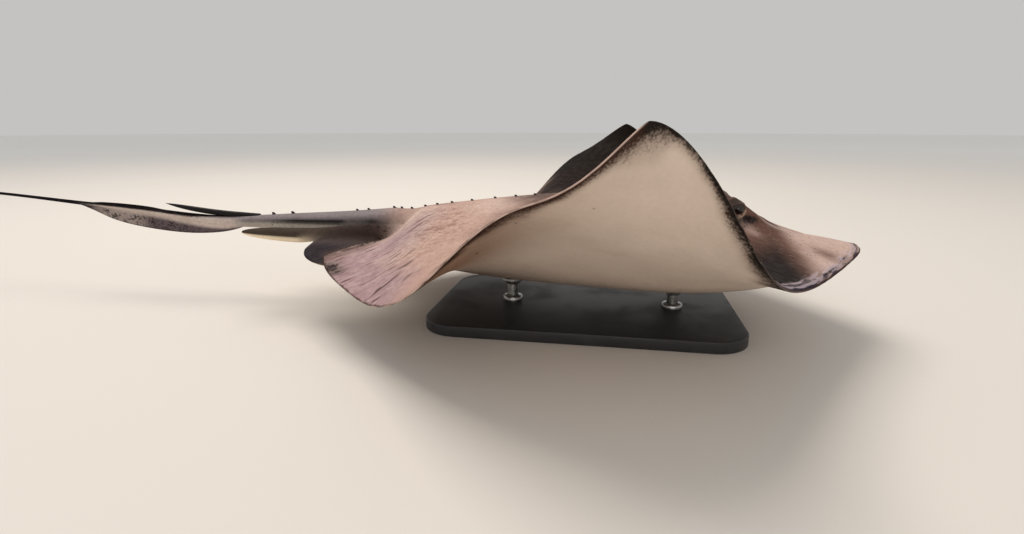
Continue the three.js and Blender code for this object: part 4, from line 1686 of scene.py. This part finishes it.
    def blend(self, obj: Object, values: Array) -> Array:
        """Run the colours and strengths into each other where the parts join.

        Args:
            obj: The skin.
            values: Numbers kept on its points, a column for each.

        Returns:
            The same numbers, evened out near the joins.
        """
        share = smooth(mark_of(obj, "join") * 1.4)
        chosen = share > 0
        first, second = edge_ends(obj)
        kept = chosen[first] | chosen[second]
        first, second = first[kept], second[kept]
        count = np.bincount(np.concatenate([first, second]), minlength=len(share))
        count = np.maximum(count, 1)[:, None]
        for _ in range(self.blend_passes):
            total = np.zeros_like(values)
            np.add.at(total, first, values[second])
            np.add.at(total, second, values[first])
            mixed = total / count
            moved = values + (mixed - values) * share[:, None] * 0.6
            values = np.where(chosen[:, None], moved, values)
        return values

    def paint_back(self, paint: Painter, plan: Plan) -> None:
        """The back with painted highlights, the fins' tops darkened with painted shade, and the mauve
        lobes at the rear.
        """
        tone, top, x, out = self.colours, plan.top, plan.x, plan.out
        for patch in self.patches:
            mask = top * hump(x, out, patch.at, patch.size) * patch.strength
            paint.lay(getattr(tone, patch.tone), mask)
        lobe = fall(x, -110, 60) * fall(plan.margin, 78, 50)
        inner = rise(plan.ray, 0.80, 0.06)
        paint.lay(tone.rear, top * lobe * (1 - inner) * 0.9)
        corner = top * hump(x, out, (-249, 104), (12, 11)) + top * hump(x, out, (-236, 114), (11, 7))
        paint.lay(tone.rear_edge, corner)
        aside = rise(out, 22, 14)
        edge = inner * fall(plan.margin, 13, 9) * fall(x, -185, 25) * aside
        paint.lay(tone.rear_edge, top * edge * 0.8)
        paint.lay(tone.trunk, top * rise(x + plan.sway, -98, 90) * 0.9)
        # Painted shade over the tops of the fins, deepest at their tips.
        paint.lay(tone.wing, top * plan.wing)
        paint.lay(tone.wing_tip, top * plan.wing * rise(out, 200, 80))

    def paint_head(self, paint: Painter, plan: Plan) -> None:
        """The head: browner, dark along the snout's flanks partly with painted shade, with painted
        shade beside each crest and a painted highlight along it, and pale at its end.
        """
        tone, top, x, out = self.colours, plan.top, plan.x, plan.out
        paint.lay(tone.head, top * rise(x, 70, 60) * (1 - plan.wing * 0.8))
        end = fall(plan.ray, 0.19, 0.06) * rise(x + plan.sway / 2, 168, 30)
        paint.lay(tone.snout, top * end)
        paint.lay(tone.head, top * hump(x, out, (220, 62), (14, 17)) * 0.8)
        flank = plan.flank
        # Partly the snout's own darker flanks, partly painted shade where they turn away from the
        # light.
        paint.lay(tone.snout_dark, top * flank * fall(plan.margin, 76, 40) * 0.97)
        paint.lay(tone.snout, top * hump(x, out, (153, 60), (8, 8)) * 0.5)
        light = np.exp(-(((plan.margin - 6.5) / 1.3) ** 2))
        paint.lay(tone.bloom, top * flank * light * fall(plan.ray, 0.26, 0.03) * 0.75)
        line = HeadRelief().crest(x, out, 2.6)
        beside = HeadRelief().crest_line(x) - 7 - out
        within = np.exp(-((beside / 6) ** 2)) * rise(x, 164, 14) * (1 - rise(x, 200, 26))
        # Painted shade in a strip just inside each crest.
        paint.lay(tone.snout_dark, top * within * 0.5)
        # Painted highlight along each crest.
        paint.lay(tone.crest, top * line * 0.5)

    def paint_eye(self, paint: Painter, plan: Plan, eye: EyeForm) -> Array:
        """Lay the colours round one eye.

        Args:
            paint: The colours on the points.
            plan: Where the points lie.
            eye: The eye's form.

        Returns:
            How deep in a lid's fold each point is, 0 to 1.
        """
        tone = self.colours
        length, off, turn = eye.polar(plan.points)
        ahead = length * np.sin(off) * np.cos(turn)
        above = length * np.sin(off) * np.sin(turn)
        share = eye.opening(off, turn)
        near = plan.top * fall(length, 24, 8)
        paint.lay(tone.brow, near * rise(above, 0.5, 5) * fall(length, 17, 8))
        wide = fall(length, 28, 8) * plan.top
        # Painted shade round the eye: a dark band below it and the hollow close behind it.
        paint.lay(tone.socket, wide * smooth(1.7 * hump(ahead, above, (8.5, -9.4), (10.5, 3.4))) * 0.95)
        paint.lay(tone.socket, near * fall(ahead, 1, 4) * fall(length, 9, 3) * 0.8)
        across = np.hypot(ahead, above)
        low_front = fall(above, 1.5, 3) * rise(ahead, -3, 4)
        paint.lay(tone.crescent, near * np.exp(-(((across - 6.9) / 1.3) ** 4)) * low_front)
        # The lid's rim and its folds get painted shade.
        folds = sum(np.exp(-(((share - at) / 0.09) ** 2)) for at, _ in eye.creases)
        rim = 0.9 * np.exp(-(((share - 0.96) / 0.1) ** 2)) * (1 - 0.75 * low_front)
        return near * (length < 16) * np.maximum(rim, 0.75 * folds * rise(above, 1, 3))

    def paint_belly(self, paint: Painter, plan: Plan) -> None:
        """The pale belly, with painted shade towards its rear and along its lowest part."""
        tone, low, x, out = self.colours, plan.low, plan.x, plan.out
        paint.lay(tone.belly, low)
        behind = rise(plan.ray, 0.47, 0.16)
        # Painted shade: the rear of the belly, a low patch at its rear and a strip along its midline
        # are darkened.
        paint.lay(tone.belly_rear, low * behind * fall(plan.margin, 120, 90))
        paint.lay(tone.belly_low, low * hump(x, out, (-120, 70), (76, 52)) * 0.75)
        paint.lay(tone.belly_low, low * fall(out, 120, 60) * 0.25)

    def paint_limbs(self, paint: Painter, plan: Plan) -> None:
        """The claspers and the pelvic fins."""
        tone = self.colours
        clasper = plan.is_part(Part.CLASPER)
        paint.lay(tone.clasper_top, clasper)
        paint.lay(tone.rear_edge, clasper * rise(plan.x, -310, 50) * 0.7)
        below = fall(plan.ray, 0.02, 0.35) * fall(plan.x, -288, 26)
        paint.lay(tone.clasper_low, clasper * below)
        pelvic = plan.is_part(Part.PELVIC_FIN)
        paint.lay(tone.pelvic, pelvic)
        paint.lay(tone.rear_edge, pelvic * rise(plan.x, -262, 24))
        # Painted sheen: a light stripe along the top of each pelvic fin.
        paint.lay(tone.pelvic_light, pelvic * np.exp(-(((plan.out - 45) / 5) ** 2)) * 0.7)
        paint.lay(tone.clasper_low, pelvic * rise(plan.under, 0.55, 0.3))

    def paint_tail(self, paint: Painter, plan: Plan) -> None:
        """The tail's bands, from its lavender top to its dark fold and whip."""
        tone, x, level = self.colours, plan.x, plan.ray
        tail = plan.is_part(Part.TAIL)
        behind = fall(x, -398, 30)
        root = tail * (1 - behind)
        fold = tail * behind
        paint.lay(tone.tail_top, tail)
        paint.lay(tone.tail_flank, root * fall(level, 0.36, 0.3))
        band = np.exp(-(((level - 0.22) / 0.27) ** 4)) * fall(x, -196, 30)
        paint.lay(tone.tail_band, root * band * (1 - 0.65 * fall(x, -330, 60)))
        paint.lay(tone.tail_light, root * fall(level, -0.6, 0.25) * 0.7)
        paint.lay(tone.tail_light, fold * fall(level, 0.85, 0.5))
        dark = fold * rise(plan.fold_share - plan.fold_from, -0.16, 0.3)
        paint.lay(tone.tail_fold, dark * (1 - 0.5 * fall(x, -530, 30)))
        paint.lay(tone.keel, fold * rise(plan.fold_share, 0.9, 0.08) * 0.7)
        ridge = 0.72 - 0.62 * fall(x, -430, 60)
        paint.lay(tone.keel, fold * smooth((level - ridge) / 0.3))
        paint.lay(tone.whip, tail * fall(x, -592, 50))
        paint.lay(tone.rear_edge, tail * rise(x, -262, 30) * fall(level, 0.1, 0.3) * 0.7)
        paint.lay(tone.back, tail * rise(x, -240, 50) * rise(level, -0.1, 0.5))
        over = plan.top * fall(x, -188, 26) * np.exp(-((plan.out / 20) ** 2))
        paint.lay(tone.tail_top, over * 0.3)

    def keep_tint(self, obj: Object, colour: Array) -> None:
        """Keep the broad colours on the mesh."""
        layer = obj.data.color_attributes.new("tint", "FLOAT_COLOR", "POINT")
        full = np.concatenate([colour, np.ones((len(colour), 1))], 1)
        layer.data.foreach_set("color", full.astype(np.float32).ravel())

    def strengths(self, obj: Object, plan: Plan) -> None:
        """How strong each of the finer marks is over the skin."""
        top, low, x, out, margin = plan.top, plan.low, plan.x, plan.out, plan.margin
        parts = (Part.TAIL, Part.CLASPER, Part.PELVIC_FIN)
        tail, clasper, pelvic = (plan.is_part(part) for part in parts)
        lobe = top * fall(x, -120, 50)
        below = rise(plan.fold_share - plan.fold_from, -0.16, 0.3)
        fold = tail * below * fall(x, -398, 20)
        inner = lobe * rise(plan.ray, 0.82, 0.05) * fall(margin, 16, 10)
        inner = inner * rise(out, 22, 14)
        root = tail * rise(x, -400, 20)
        corner = lobe * hump(x, out, (-243, 104), (15, 13))
        # The strongest of the lobes' corner, the fold, the wings, the rims and the limbs.
        dusk = np.maximum.reduce(
            [
                0.62 * corner,
                0.5 * fold,
                0.15 * top * plan.wing,
                0.62 * inner,
                0.30 * lobe * fall(margin, 14, 12),
                0.42 * clasper * (1 - plan.under),
                0.35 * pelvic * (1 - plan.under),
                0.30 * top * rise(x, 110, 60) * rise(plan.ray, 0.09, 0.06),
                0.22 * low * rise(plan.ray, 0.5, 0.1),
                0.34 * root * fall(plan.ray, 0.6, 0.3),
                0.55 * tail * fall(x, -440, 40) * rise(plan.ray, -0.1, 0.3),
                0.55 * clasper * rise(x, -262, 24),
            ]
        )
        flush = top * hump(x, out, (-146, 48), (34, 60))
        set_mark(obj, "dusk", dusk)
        set_mark(obj, "streak", lobe * fall(margin, 105, 60) + 0.35 * pelvic)
        calm = (1 - plan.wing) * (1 - 0.5 * plan.flank)
        set_mark(obj, "flush", flush + 0.2 * top * rise(x, 60, 60) * calm)
        set_mark(obj, "dust", top * 0.26 * calm * (1 - 0.6 * rise(x, -90, 70)))
        set_mark(obj, "pores", top * rise(x, 80, 60))
        set_mark(obj, "lip", plan.is_part(Part.DISC) * fall(plan.ray, 0.31, 0.06))
        lead = rise(plan.ray, 0.18, 0.03) * (1 - rise(plan.ray, 0.25, 0.05))
        trail = rise(plan.ray, 0.43, 0.02) * (1 - rise(plan.ray, 0.70, 0.06))
        set_mark(obj, "trail", plan.is_part(Part.DISC) * trail)
        set_mark(obj, "lead", plan.is_part(Part.DISC) * lead)
        set_mark(obj, "hem", lobe * (1 - rise(plan.ray, 0.84, 0.03)))
        set_mark(obj, "band", self.band(plan.ray))
        joined = 60 * smooth((mark_of(obj, "join") - 0.25) / 0.5)
        set_mark(obj, "margin", np.where(plan.is_part(Part.DISC) > 0, margin + joined, 60))
        set_mark(obj, "fan", np.where(tail > 0, plan.ray * 3, plan.ray * 330))
        set_mark(obj, "reach", np.where(tail > 0, x / 18, out / 16))


LIMBS = ("pectoral_fin", "pelvic_fin", "clasper")
TAIL = ("tail_root", "tail_middle", "tail_whip_front", "tail_whip_rear")
FLESH = ("head", "trunk", *(f"{limb}_{side.word}" for limb in LIMBS for side in Side), *TAIL)


def surface_of(obj: Object) -> BVHTree:
    """A search tree over an object's faces, in metres."""
    return BVHTree.FromObject(obj, bpy.context.evaluated_depsgraph_get())


@dataclass
class Thorns:
    """The row of small hooked thorns along the midline of the back and tail."""

    at: tuple[float, ...] = (
        (-55, -76, -99, -125, -148, -165, -179, -195, -207, -216, -247, -261, -342, -367)
    )
    length: float = 6.6
    width: float = 4.4
    height: float = 2.0
    rake: float = 1.5
    sunk: float = 1.2
    big_behind: float = -330
    big: float = 1.35
    tip_share: float = 5.5
    waist: float = 0.3

    def thorn(self) -> Object:
        """One thorn at the origin: a cone with a flared foot and a tip raked back."""
        deselect()
        tall = (self.height + self.sunk) * MM
        bpy.ops.mesh.primitive_cone_add(
            vertices=16,
            radius1=self.length / 2 * MM,
            radius2=self.length / self.tip_share * MM,
            depth=tall,
            location=(0, 0, tall / 2 - self.sunk * MM),
        )
        obj = bpy.context.object
        bpy.ops.object.transform_apply(location=True, rotation=True, scale=True)
        bpy.ops.object.mode_set(mode="EDIT")
        bpy.ops.mesh.select_all(action="SELECT")
        bpy.ops.mesh.subdivide(number_cuts=3)
        bpy.ops.mesh.remove_doubles(threshold=1e-6)
        bpy.ops.transform.resize(value=(1, self.width / self.length, 1), center_override=(0, 0, 0))
        bpy.ops.object.mode_set(mode="OBJECT")
        points = places(obj)
        up = np.clip((points[:, 2] + self.sunk) / (self.height + self.sunk), 0, 1)
        slim = 1 - self.waist * np.sin(np.pi * up)
        points[:, 0] = points[:, 0] * slim - self.rake * up**1.5
        points[:, 1] *= slim
        move_to(obj, points)
        apply_modifier(obj, "SUBSURF", levels=1, render_levels=1)
        return obj

    def build(
        self, skin: Object, finish: HornFinish, effects: Effects
    ) -> Object:
        """Set a copy of the thorn on the skin at each place and join them.

        Args:
            skin: The animal's skin.
            finish: Its finish.
            effects: The shared effects.

        Returns:
            The joined row.
        """
        surface = surface_of(skin)
        first = self.thorn()
        copies = []
        for x in self.at:
            start = Vector((x, 0, 400)) * MM
            point, normal, _, _ = surface.ray_cast(start, Vector((0, 0, -1)))
            copy = first.copy()
            copy.data = first.data.copy()
            bpy.context.collection.objects.link(copy)
            size = self.big if x < self.big_behind else 1.0
            lean = math.atan2(normal.x, normal.z)
            place = Matrix.Translation(point) @ Matrix.Rotation(lean, 4, "Y")
            copy.data.transform(place @ Matrix.Scale(size, 4))
            copies.append(copy)
        bpy.data.objects.remove(first)
        deselect()
        for copy in copies:
            copy.select_set(True)
        bpy.context.view_layer.objects.active = copies[0]
        bpy.ops.object.join()
        obj = bpy.context.object
        obj.name = obj.data.name = "midline_thorns"
        bpy.ops.object.shade_smooth()
        dress(obj, finish.build(effects))
        return obj


@dataclass
class Sting:
    """The tail's spine: flat, ridged above, with small teeth that point forward."""

    base_x: float = -386
    tip_x: float = -513
    z: float = 12.9
    lift: float = 12.4
    half: float = 3.9
    thick: float = 3.5
    teeth_from: float = 0.3
    tooth: float = 2.3
    rings: int = 230
    sides: int = 18

    def build(self, finish: HornFinish, effects: Effects) -> Object:
        """The sting as a closed shell."""
        t = np.linspace(0, 1, self.rings + 1)
        x = self.base_x + (self.tip_x - self.base_x) * t
        taper = np.minimum(1, 0.8 + t) * (1 - t**6)
        run = (self.base_x - x) / self.tooth
        saw = 1 - run % 1
        teeth = smooth((t - self.teeth_from) / 0.05) * (1 - rise(t, 0.95, 0.05))
        half = self.half * taper * (0.97 - 0.2 * teeth * saw**2)
        thick = self.thick * taper
        angle = np.linspace(0, 2 * np.pi, self.sides + 1)
        cos, sin = np.cos(angle), np.sin(angle)
        edge = np.sign(cos) * np.abs(cos) ** 0.8
        ridge = 0.16 * np.exp(-((cos / 0.16) ** 2))
        ridge -= 0.14 * np.exp(-(((abs(cos) - 0.34) / 0.1) ** 2))
        up = np.where(sin > 0, np.abs(sin) ** 1.1 * (1 + ridge), -0.9 * np.abs(sin) ** 1.1)
        y = half[:, None] * edge
        z = self.z + self.lift * t[:, None] ** 2 + thick[:, None] * up
        place = np.stack([x[:, None] + 0 * y, y, z + MID_HEIGHT], -1)
        place[0] = (self.base_x + 1, 0, self.z + MID_HEIGHT)
        place[-1] = (self.tip_x, 0, self.z + self.lift + MID_HEIGHT)
        obj = loft("tail_sting", place)
        dress(obj, finish.build(effects))
        return obj


# ---- The stand -----------------------------------------------------------------


@dataclass
class Stand:
    """A flat coated base and two turned rods with soft pads under the belly."""

    length: float = 320
    width: float = 200
    thick: float = 12
    corner: float = 36
    bevel: float = 1.6
    rod_xs: Pair = (95, -80)
    rod_radius: float = 6
    pad_radius: float = 15
    pad_thick: float = 4
    clear: float = 0.3
    sides: int = 64
    # Radius beyond the rod's and height over the plate or under the pad.
    foot: Knots = ((5, 0), (5, 3.2), (4.2, 4.2), (1.2, 4.8), (0, 6))
    flange: Knots = ((0, -9), (1.5, -7.5), (5.5, -4.4), (6.5, -3.6), (6.5, -1.4), (5.9, -0.8))
    # Radius beyond the pad's and height over its underside; then shares of its radius.
    pad_side: Knots = ((-1.2, 0), (-0.3, 0.4), (0, 1.2), (0, 2.4), (-0.3, 3.2), (-1.1, 3.6))
    pad_rings: tuple[float, ...] = (0.75, 0.5, 0.25, 0.08)

    def base(self, finish: CoatedFinish, effects: Effects) -> Object:
        """The base plate, with round corners and a softened rim."""
        deselect()
        bpy.ops.mesh.primitive_cube_add(size=1, location=(0, 0, self.thick / 2 * MM))
        obj = bpy.context.object
        obj.name = obj.data.name = "base_plate"
        obj.scale = (self.length * MM, self.width * MM, self.thick * MM)
        bpy.ops.object.transform_apply(location=True, rotation=True, scale=True)
        self.select_edges(obj, upright=True)
        bpy.ops.mesh.bevel(offset=self.corner * MM, segments=14, affect="EDGES")
        bpy.ops.object.mode_set(mode="OBJECT")
        self.select_edges(obj, upright=False)
        bpy.ops.mesh.bevel(offset=self.bevel * MM, segments=4, affect="EDGES")
        bpy.ops.object.mode_set(mode="OBJECT")
        bpy.ops.object.shade_smooth_by_angle(angle=math.radians(30))
        dress(obj, finish.build(effects))
        return obj

    def select_edges(self, obj: Object, upright: bool) -> None:
        """Select the upright edges, or those round the top and the underside."""
        activate(obj)
        bpy.ops.object.mode_set(mode="EDIT")
        bpy.ops.mesh.select_mode(type="EDGE")
        bpy.ops.mesh.select_all(action="DESELECT")
        shell = bmesh.from_edit_mesh(obj.data)
        for edge in shell.edges:
            low, high = sorted(v.co.z for v in edge.verts)
            stands = high - low > self.thick / 2 * MM
            level = high - low < MM / 10 and len(edge.link_faces) == 2
            turned = level and edge.calc_face_angle(0) > 1.0
            edge.select_set(stands if upright else turned)
        bmesh.update_edit_mesh(obj.data)

    def turned(self, name: str, steps: list[Pair], x: float) -> Object:
        """A turned piece: a circle drawn up through (radius, height) steps.

        Args:
            name: The object's name.
            steps: Radius and height of each ring, from the bottom to the top.
            x: Where its axis stands.

        Returns:
            The closed piece.
        """
        deselect()
        radius, height = steps[0]
        bpy.ops.mesh.primitive_circle_add(
            vertices=self.sides,
            radius=radius * MM,
            fill_type="NGON",
            location=(x * MM, 0, height * MM),
        )
        obj = bpy.context.object
        obj.name = obj.data.name = name
        bpy.ops.object.transform_apply(location=True, rotation=True, scale=True)
        bpy.ops.object.mode_set(mode="EDIT")
        bpy.ops.mesh.select_all(action="SELECT")
        for (was, low), (now, high) in zip(steps, steps[1:]):
            bpy.ops.mesh.extrude_region_move(
                TRANSFORM_OT_translate={"value": (0, 0, (high - low) * MM)}
            )
            size = now / was
            bpy.ops.transform.resize(
                value=(size, size, 1), center_override=(x * MM, 0, high * MM)
            )
        bpy.ops.mesh.select_all(action="SELECT")
        bpy.ops.mesh.normals_make_consistent(inside=False)
        bpy.ops.object.mode_set(mode="OBJECT")
        bpy.ops.object.shade_smooth_by_angle(angle=math.radians(40))
        return obj

    def rod(self, name: str, x: float, low_z: float) -> Object:
        """One rod with a collar at its foot and a flange under its pad.

        Args:
            name: Its name.
            x: Where it stands.
            low_z: Height of the pad's underside.

        Returns:
            The new object.
        """
        steps = [(self.rod_radius + out, self.thick + up) for out, up in self.foot]
        steps += [(self.rod_radius + out, low_z + up) for out, up in self.flange]
        return self.turned(name, steps, x)

    def belly_over(self, skin: BVHTree, x: float, y: float) -> float:
        """Height of the belly over a place."""
        return skin.ray_cast(Vector((x, y, 0)) * MM, Vector((0, 0, 1)))[0].z / MM

    def pad(self, name: str, x: float, skin: BVHTree) -> tuple[Object, float]:
        """One soft pad whose top follows the belly above it, and its underside's height.

        Args:
            name: Its name.
            x: Where it stands.
            skin: A search tree over the animal's skin.

        Returns:
            The new object and its underside's height.
        """
        reach = self.pad_radius * 0.7
        sides = (-reach, 0, reach)
        low = min(self.belly_over(skin, x + dx, dy) for dx in sides for dy in sides)
        low -= self.pad_thick
        steps = [(self.pad_radius + out, low + up) for out, up in self.pad_side]
        top = steps[-1][1]
        steps += [(self.pad_radius * share, top) for share in self.pad_rings]
        obj = self.turned(name, steps, x)
        points = places(obj)
        for point in points:
            if point[2] > (low + top) / 2:
                drop = top - point[2]
                point[2] = self.belly_over(skin, point[0], point[1]) - self.clear - drop
        move_to(obj, points)
        return obj, low


# ---- The studio ----------------------------------------------------------------


@dataclass(frozen=True)
class Studio:
    """The floor, the lights and the camera."""

    eye: Triple = (0.0246, -0.6000, 0.2034)
    turned: float = math.radians(10.0)
    down: float = 0.2491
    focal_px: float = 559.8
    image_px: tuple[int, int] = (1024, 534)
    sensor: float = 36.0
    reach: float = 14.0
    floor_sides: int = 96
    sky_light: float = 0.6
    sky_seen: float = 0.62
    # Name, place, target, size in metres, power and colour of each light.
    lamps: tuple = (
        ("key", (-0.8, 0.8, 2.7), (0, 0, 0.1), 1.8, 58, "fff3e8"),
        ("fill", (0.3, -2.6, 1.0), (0.0, 0, 0.1), 2.2, 13, "fff6ee"),
    )

    def camera(self) -> None:
        """Place the camera."""
        data = bpy.data.cameras.new("camera")
        data.sensor_width = self.sensor
        data.lens = self.focal_px * self.sensor / self.image_px[0]
        obj = bpy.data.objects.new("camera", data)
        bpy.context.collection.objects.link(obj)
        level = math.cos(self.down)
        ahead = (-math.sin(self.turned) * level, math.cos(self.turned) * level, -math.sin(self.down))
        obj.location = self.eye
        obj.rotation_euler = Vector(ahead).to_track_quat("-Z", "Y").to_euler()
        bpy.context.scene.camera = obj

    def floor(self) -> Object:
        """A pale round floor with a softly turned-down rim."""
        deselect()
        bpy.ops.mesh.primitive_circle_add(
            vertices=self.floor_sides, radius=self.reach, fill_type="NGON"
        )
        obj = bpy.context.object
        obj.name = obj.data.name = "studio_floor"
        bpy.ops.object.mode_set(mode="EDIT")
        bpy.ops.mesh.select_all(action="SELECT")
        bpy.ops.mesh.extrude_region_move(TRANSFORM_OT_translate={"value": (0, 0, -0.05)})
        bpy.ops.mesh.select_all(action="SELECT")
        bpy.ops.mesh.normals_make_consistent(inside=False)
        bpy.ops.object.mode_set(mode="OBJECT")
        return obj

    def area(
        self, name: str, place: tuple, target: tuple, size: float, watts: float, tone: str
    ) -> None:
        """Hang one soft square light.

        Args:
            name: Its name.
            place: Where it hangs.
            target: Where it points.
            size: Its side in metres.
            watts: Its power.
            tone: Its colour.
        """
        data = bpy.data.lights.new(name, "AREA")
        data.shape = "SQUARE"
        data.size = size
        data.energy = watts
        data.color = linear(tone)[:3]
        obj = bpy.data.objects.new(name, data)
        bpy.context.collection.objects.link(obj)
        obj.location = place
        obj.rotation_euler = (Vector(target) - Vector(place)).to_track_quat("-Z", "Y").to_euler()

    def lights(self) -> None:
        """A broad high key, a low fill for the belly and an even pale sky."""
        for lamp in self.lamps:
            self.area(*lamp)
        world = bpy.data.worlds.new("studio")
        world.use_nodes = True
        sky = world.node_tree.nodes["Background"]
        sky.inputs["Color"].default_value = linear("f2f1ef")
        graph = Graph(world.node_tree)
        seen = graph.node("LightPath").outputs["Is Camera Ray"]
        strength = graph.ramp(seen, 0.0, 1.0, (self.sky_light, self.sky_seen))
        world.node_tree.links.new(strength, sky.inputs["Strength"])
        bpy.context.scene.world = world
        bpy.context.scene.view_settings.view_transform = "Standard"


# ---- Assembly ------------------------------------------------------------------


def settle(piece: Object, slot: str, *nodes: str) -> Object:
    """Put a finished piece on the model's one body.

    Args:
        piece: The piece.
        slot: The name of a material slot; it is not used.
        nodes: The CAD nodes that it stands for.

    Returns:
        The piece.
    """
    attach(piece, "root")
    if nodes:
        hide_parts(*nodes)
    triangles = sum(len(face.vertices) - 2 for face in piece.data.polygons)
    log.info("%s: %d triangles", piece.name, triangles)
    return piece


def build_animal(effects: Effects) -> Object:
    """Build the skin, the eyes, the thorns and the sting, and return the skin."""
    eyes = [EyeForm(side) for side in Side]
    skin = settle(Skin().build(eyes, SkinFinish(), effects), "skin_fins", *FLESH)
    wet_eye = EyeFinish().build(effects)
    for eye in eyes:
        settle(Eyeball(eye).build(wet_eye), "eyes", f"eye_{eye.side.word}")
    thorn_horn = HornFinish("thorn horn", "211b22", "332b34", (1, 1, 1), (0.45, 0.6), 0.25)
    settle(Thorns().build(skin, thorn_horn, effects), "sting")
    sting_horn = HornFinish("sting horn", "070506", "120e0f", (0.12, 1, 1), (0.42, 0.6), 0.2)
    settle(Sting().build(sting_horn, effects), "sting", "sting")
    return skin


def build_stand(skin: Object, effects: Effects) -> None:
    """Build the base, the rods and the pads."""
    stand = Stand()
    black = CoatedFinish("black powder coat", "242426", "333335", 1100.0, (0.42, 0.55), 0.0004)
    settle(stand.base(black, effects), "stand_plate", "stand_base")
    rubber = CoatedFinish("pad rubber", "1b1b1c", "2a2a2b", 700.0, (0.7, 0.8), 0.0005)
    steel = SteelFinish().build(effects)
    rubber_skin = rubber.build(effects)
    surface = surface_of(skin)
    for x, word in zip(stand.rod_xs, ("front", "rear")):
        pad, low = stand.pad(f"stand_pad_{word}", x, surface)
        dress(pad, rubber_skin)
        rod = stand.rod(f"stand_post_{word}", x, low)
        dress(rod, steel)
        settle(rod, "stand_rods", f"stand_rod_{word}")
        settle(pad, "stand_plate")


def build_studio() -> None:
    """Build the floor, the lights and the camera."""
    studio = Studio()
    floor = studio.floor()
    material, graph, shader, place = new_material("pale floor")
    away = graph.node("VectorMath", {0: place}, operation="LENGTH").outputs["Value"]
    tone = graph.mix(graph.ramp(away, 1.0, 6.0), linear("dfdbd5"), linear("fbfaf8"))
    graph.tree.links.new(tone, shader.inputs["Base Color"])
    set_shader(shader, roughness=0.85)
    dress(floor, material)
    studio.lights()
    studio.camera()


def main() -> None:
    """Build everything in order."""
    effects = Effects()
    skin = build_animal(effects)
    build_stand(skin, effects)
    build_studio()


if __name__ == "__main__":
    main()
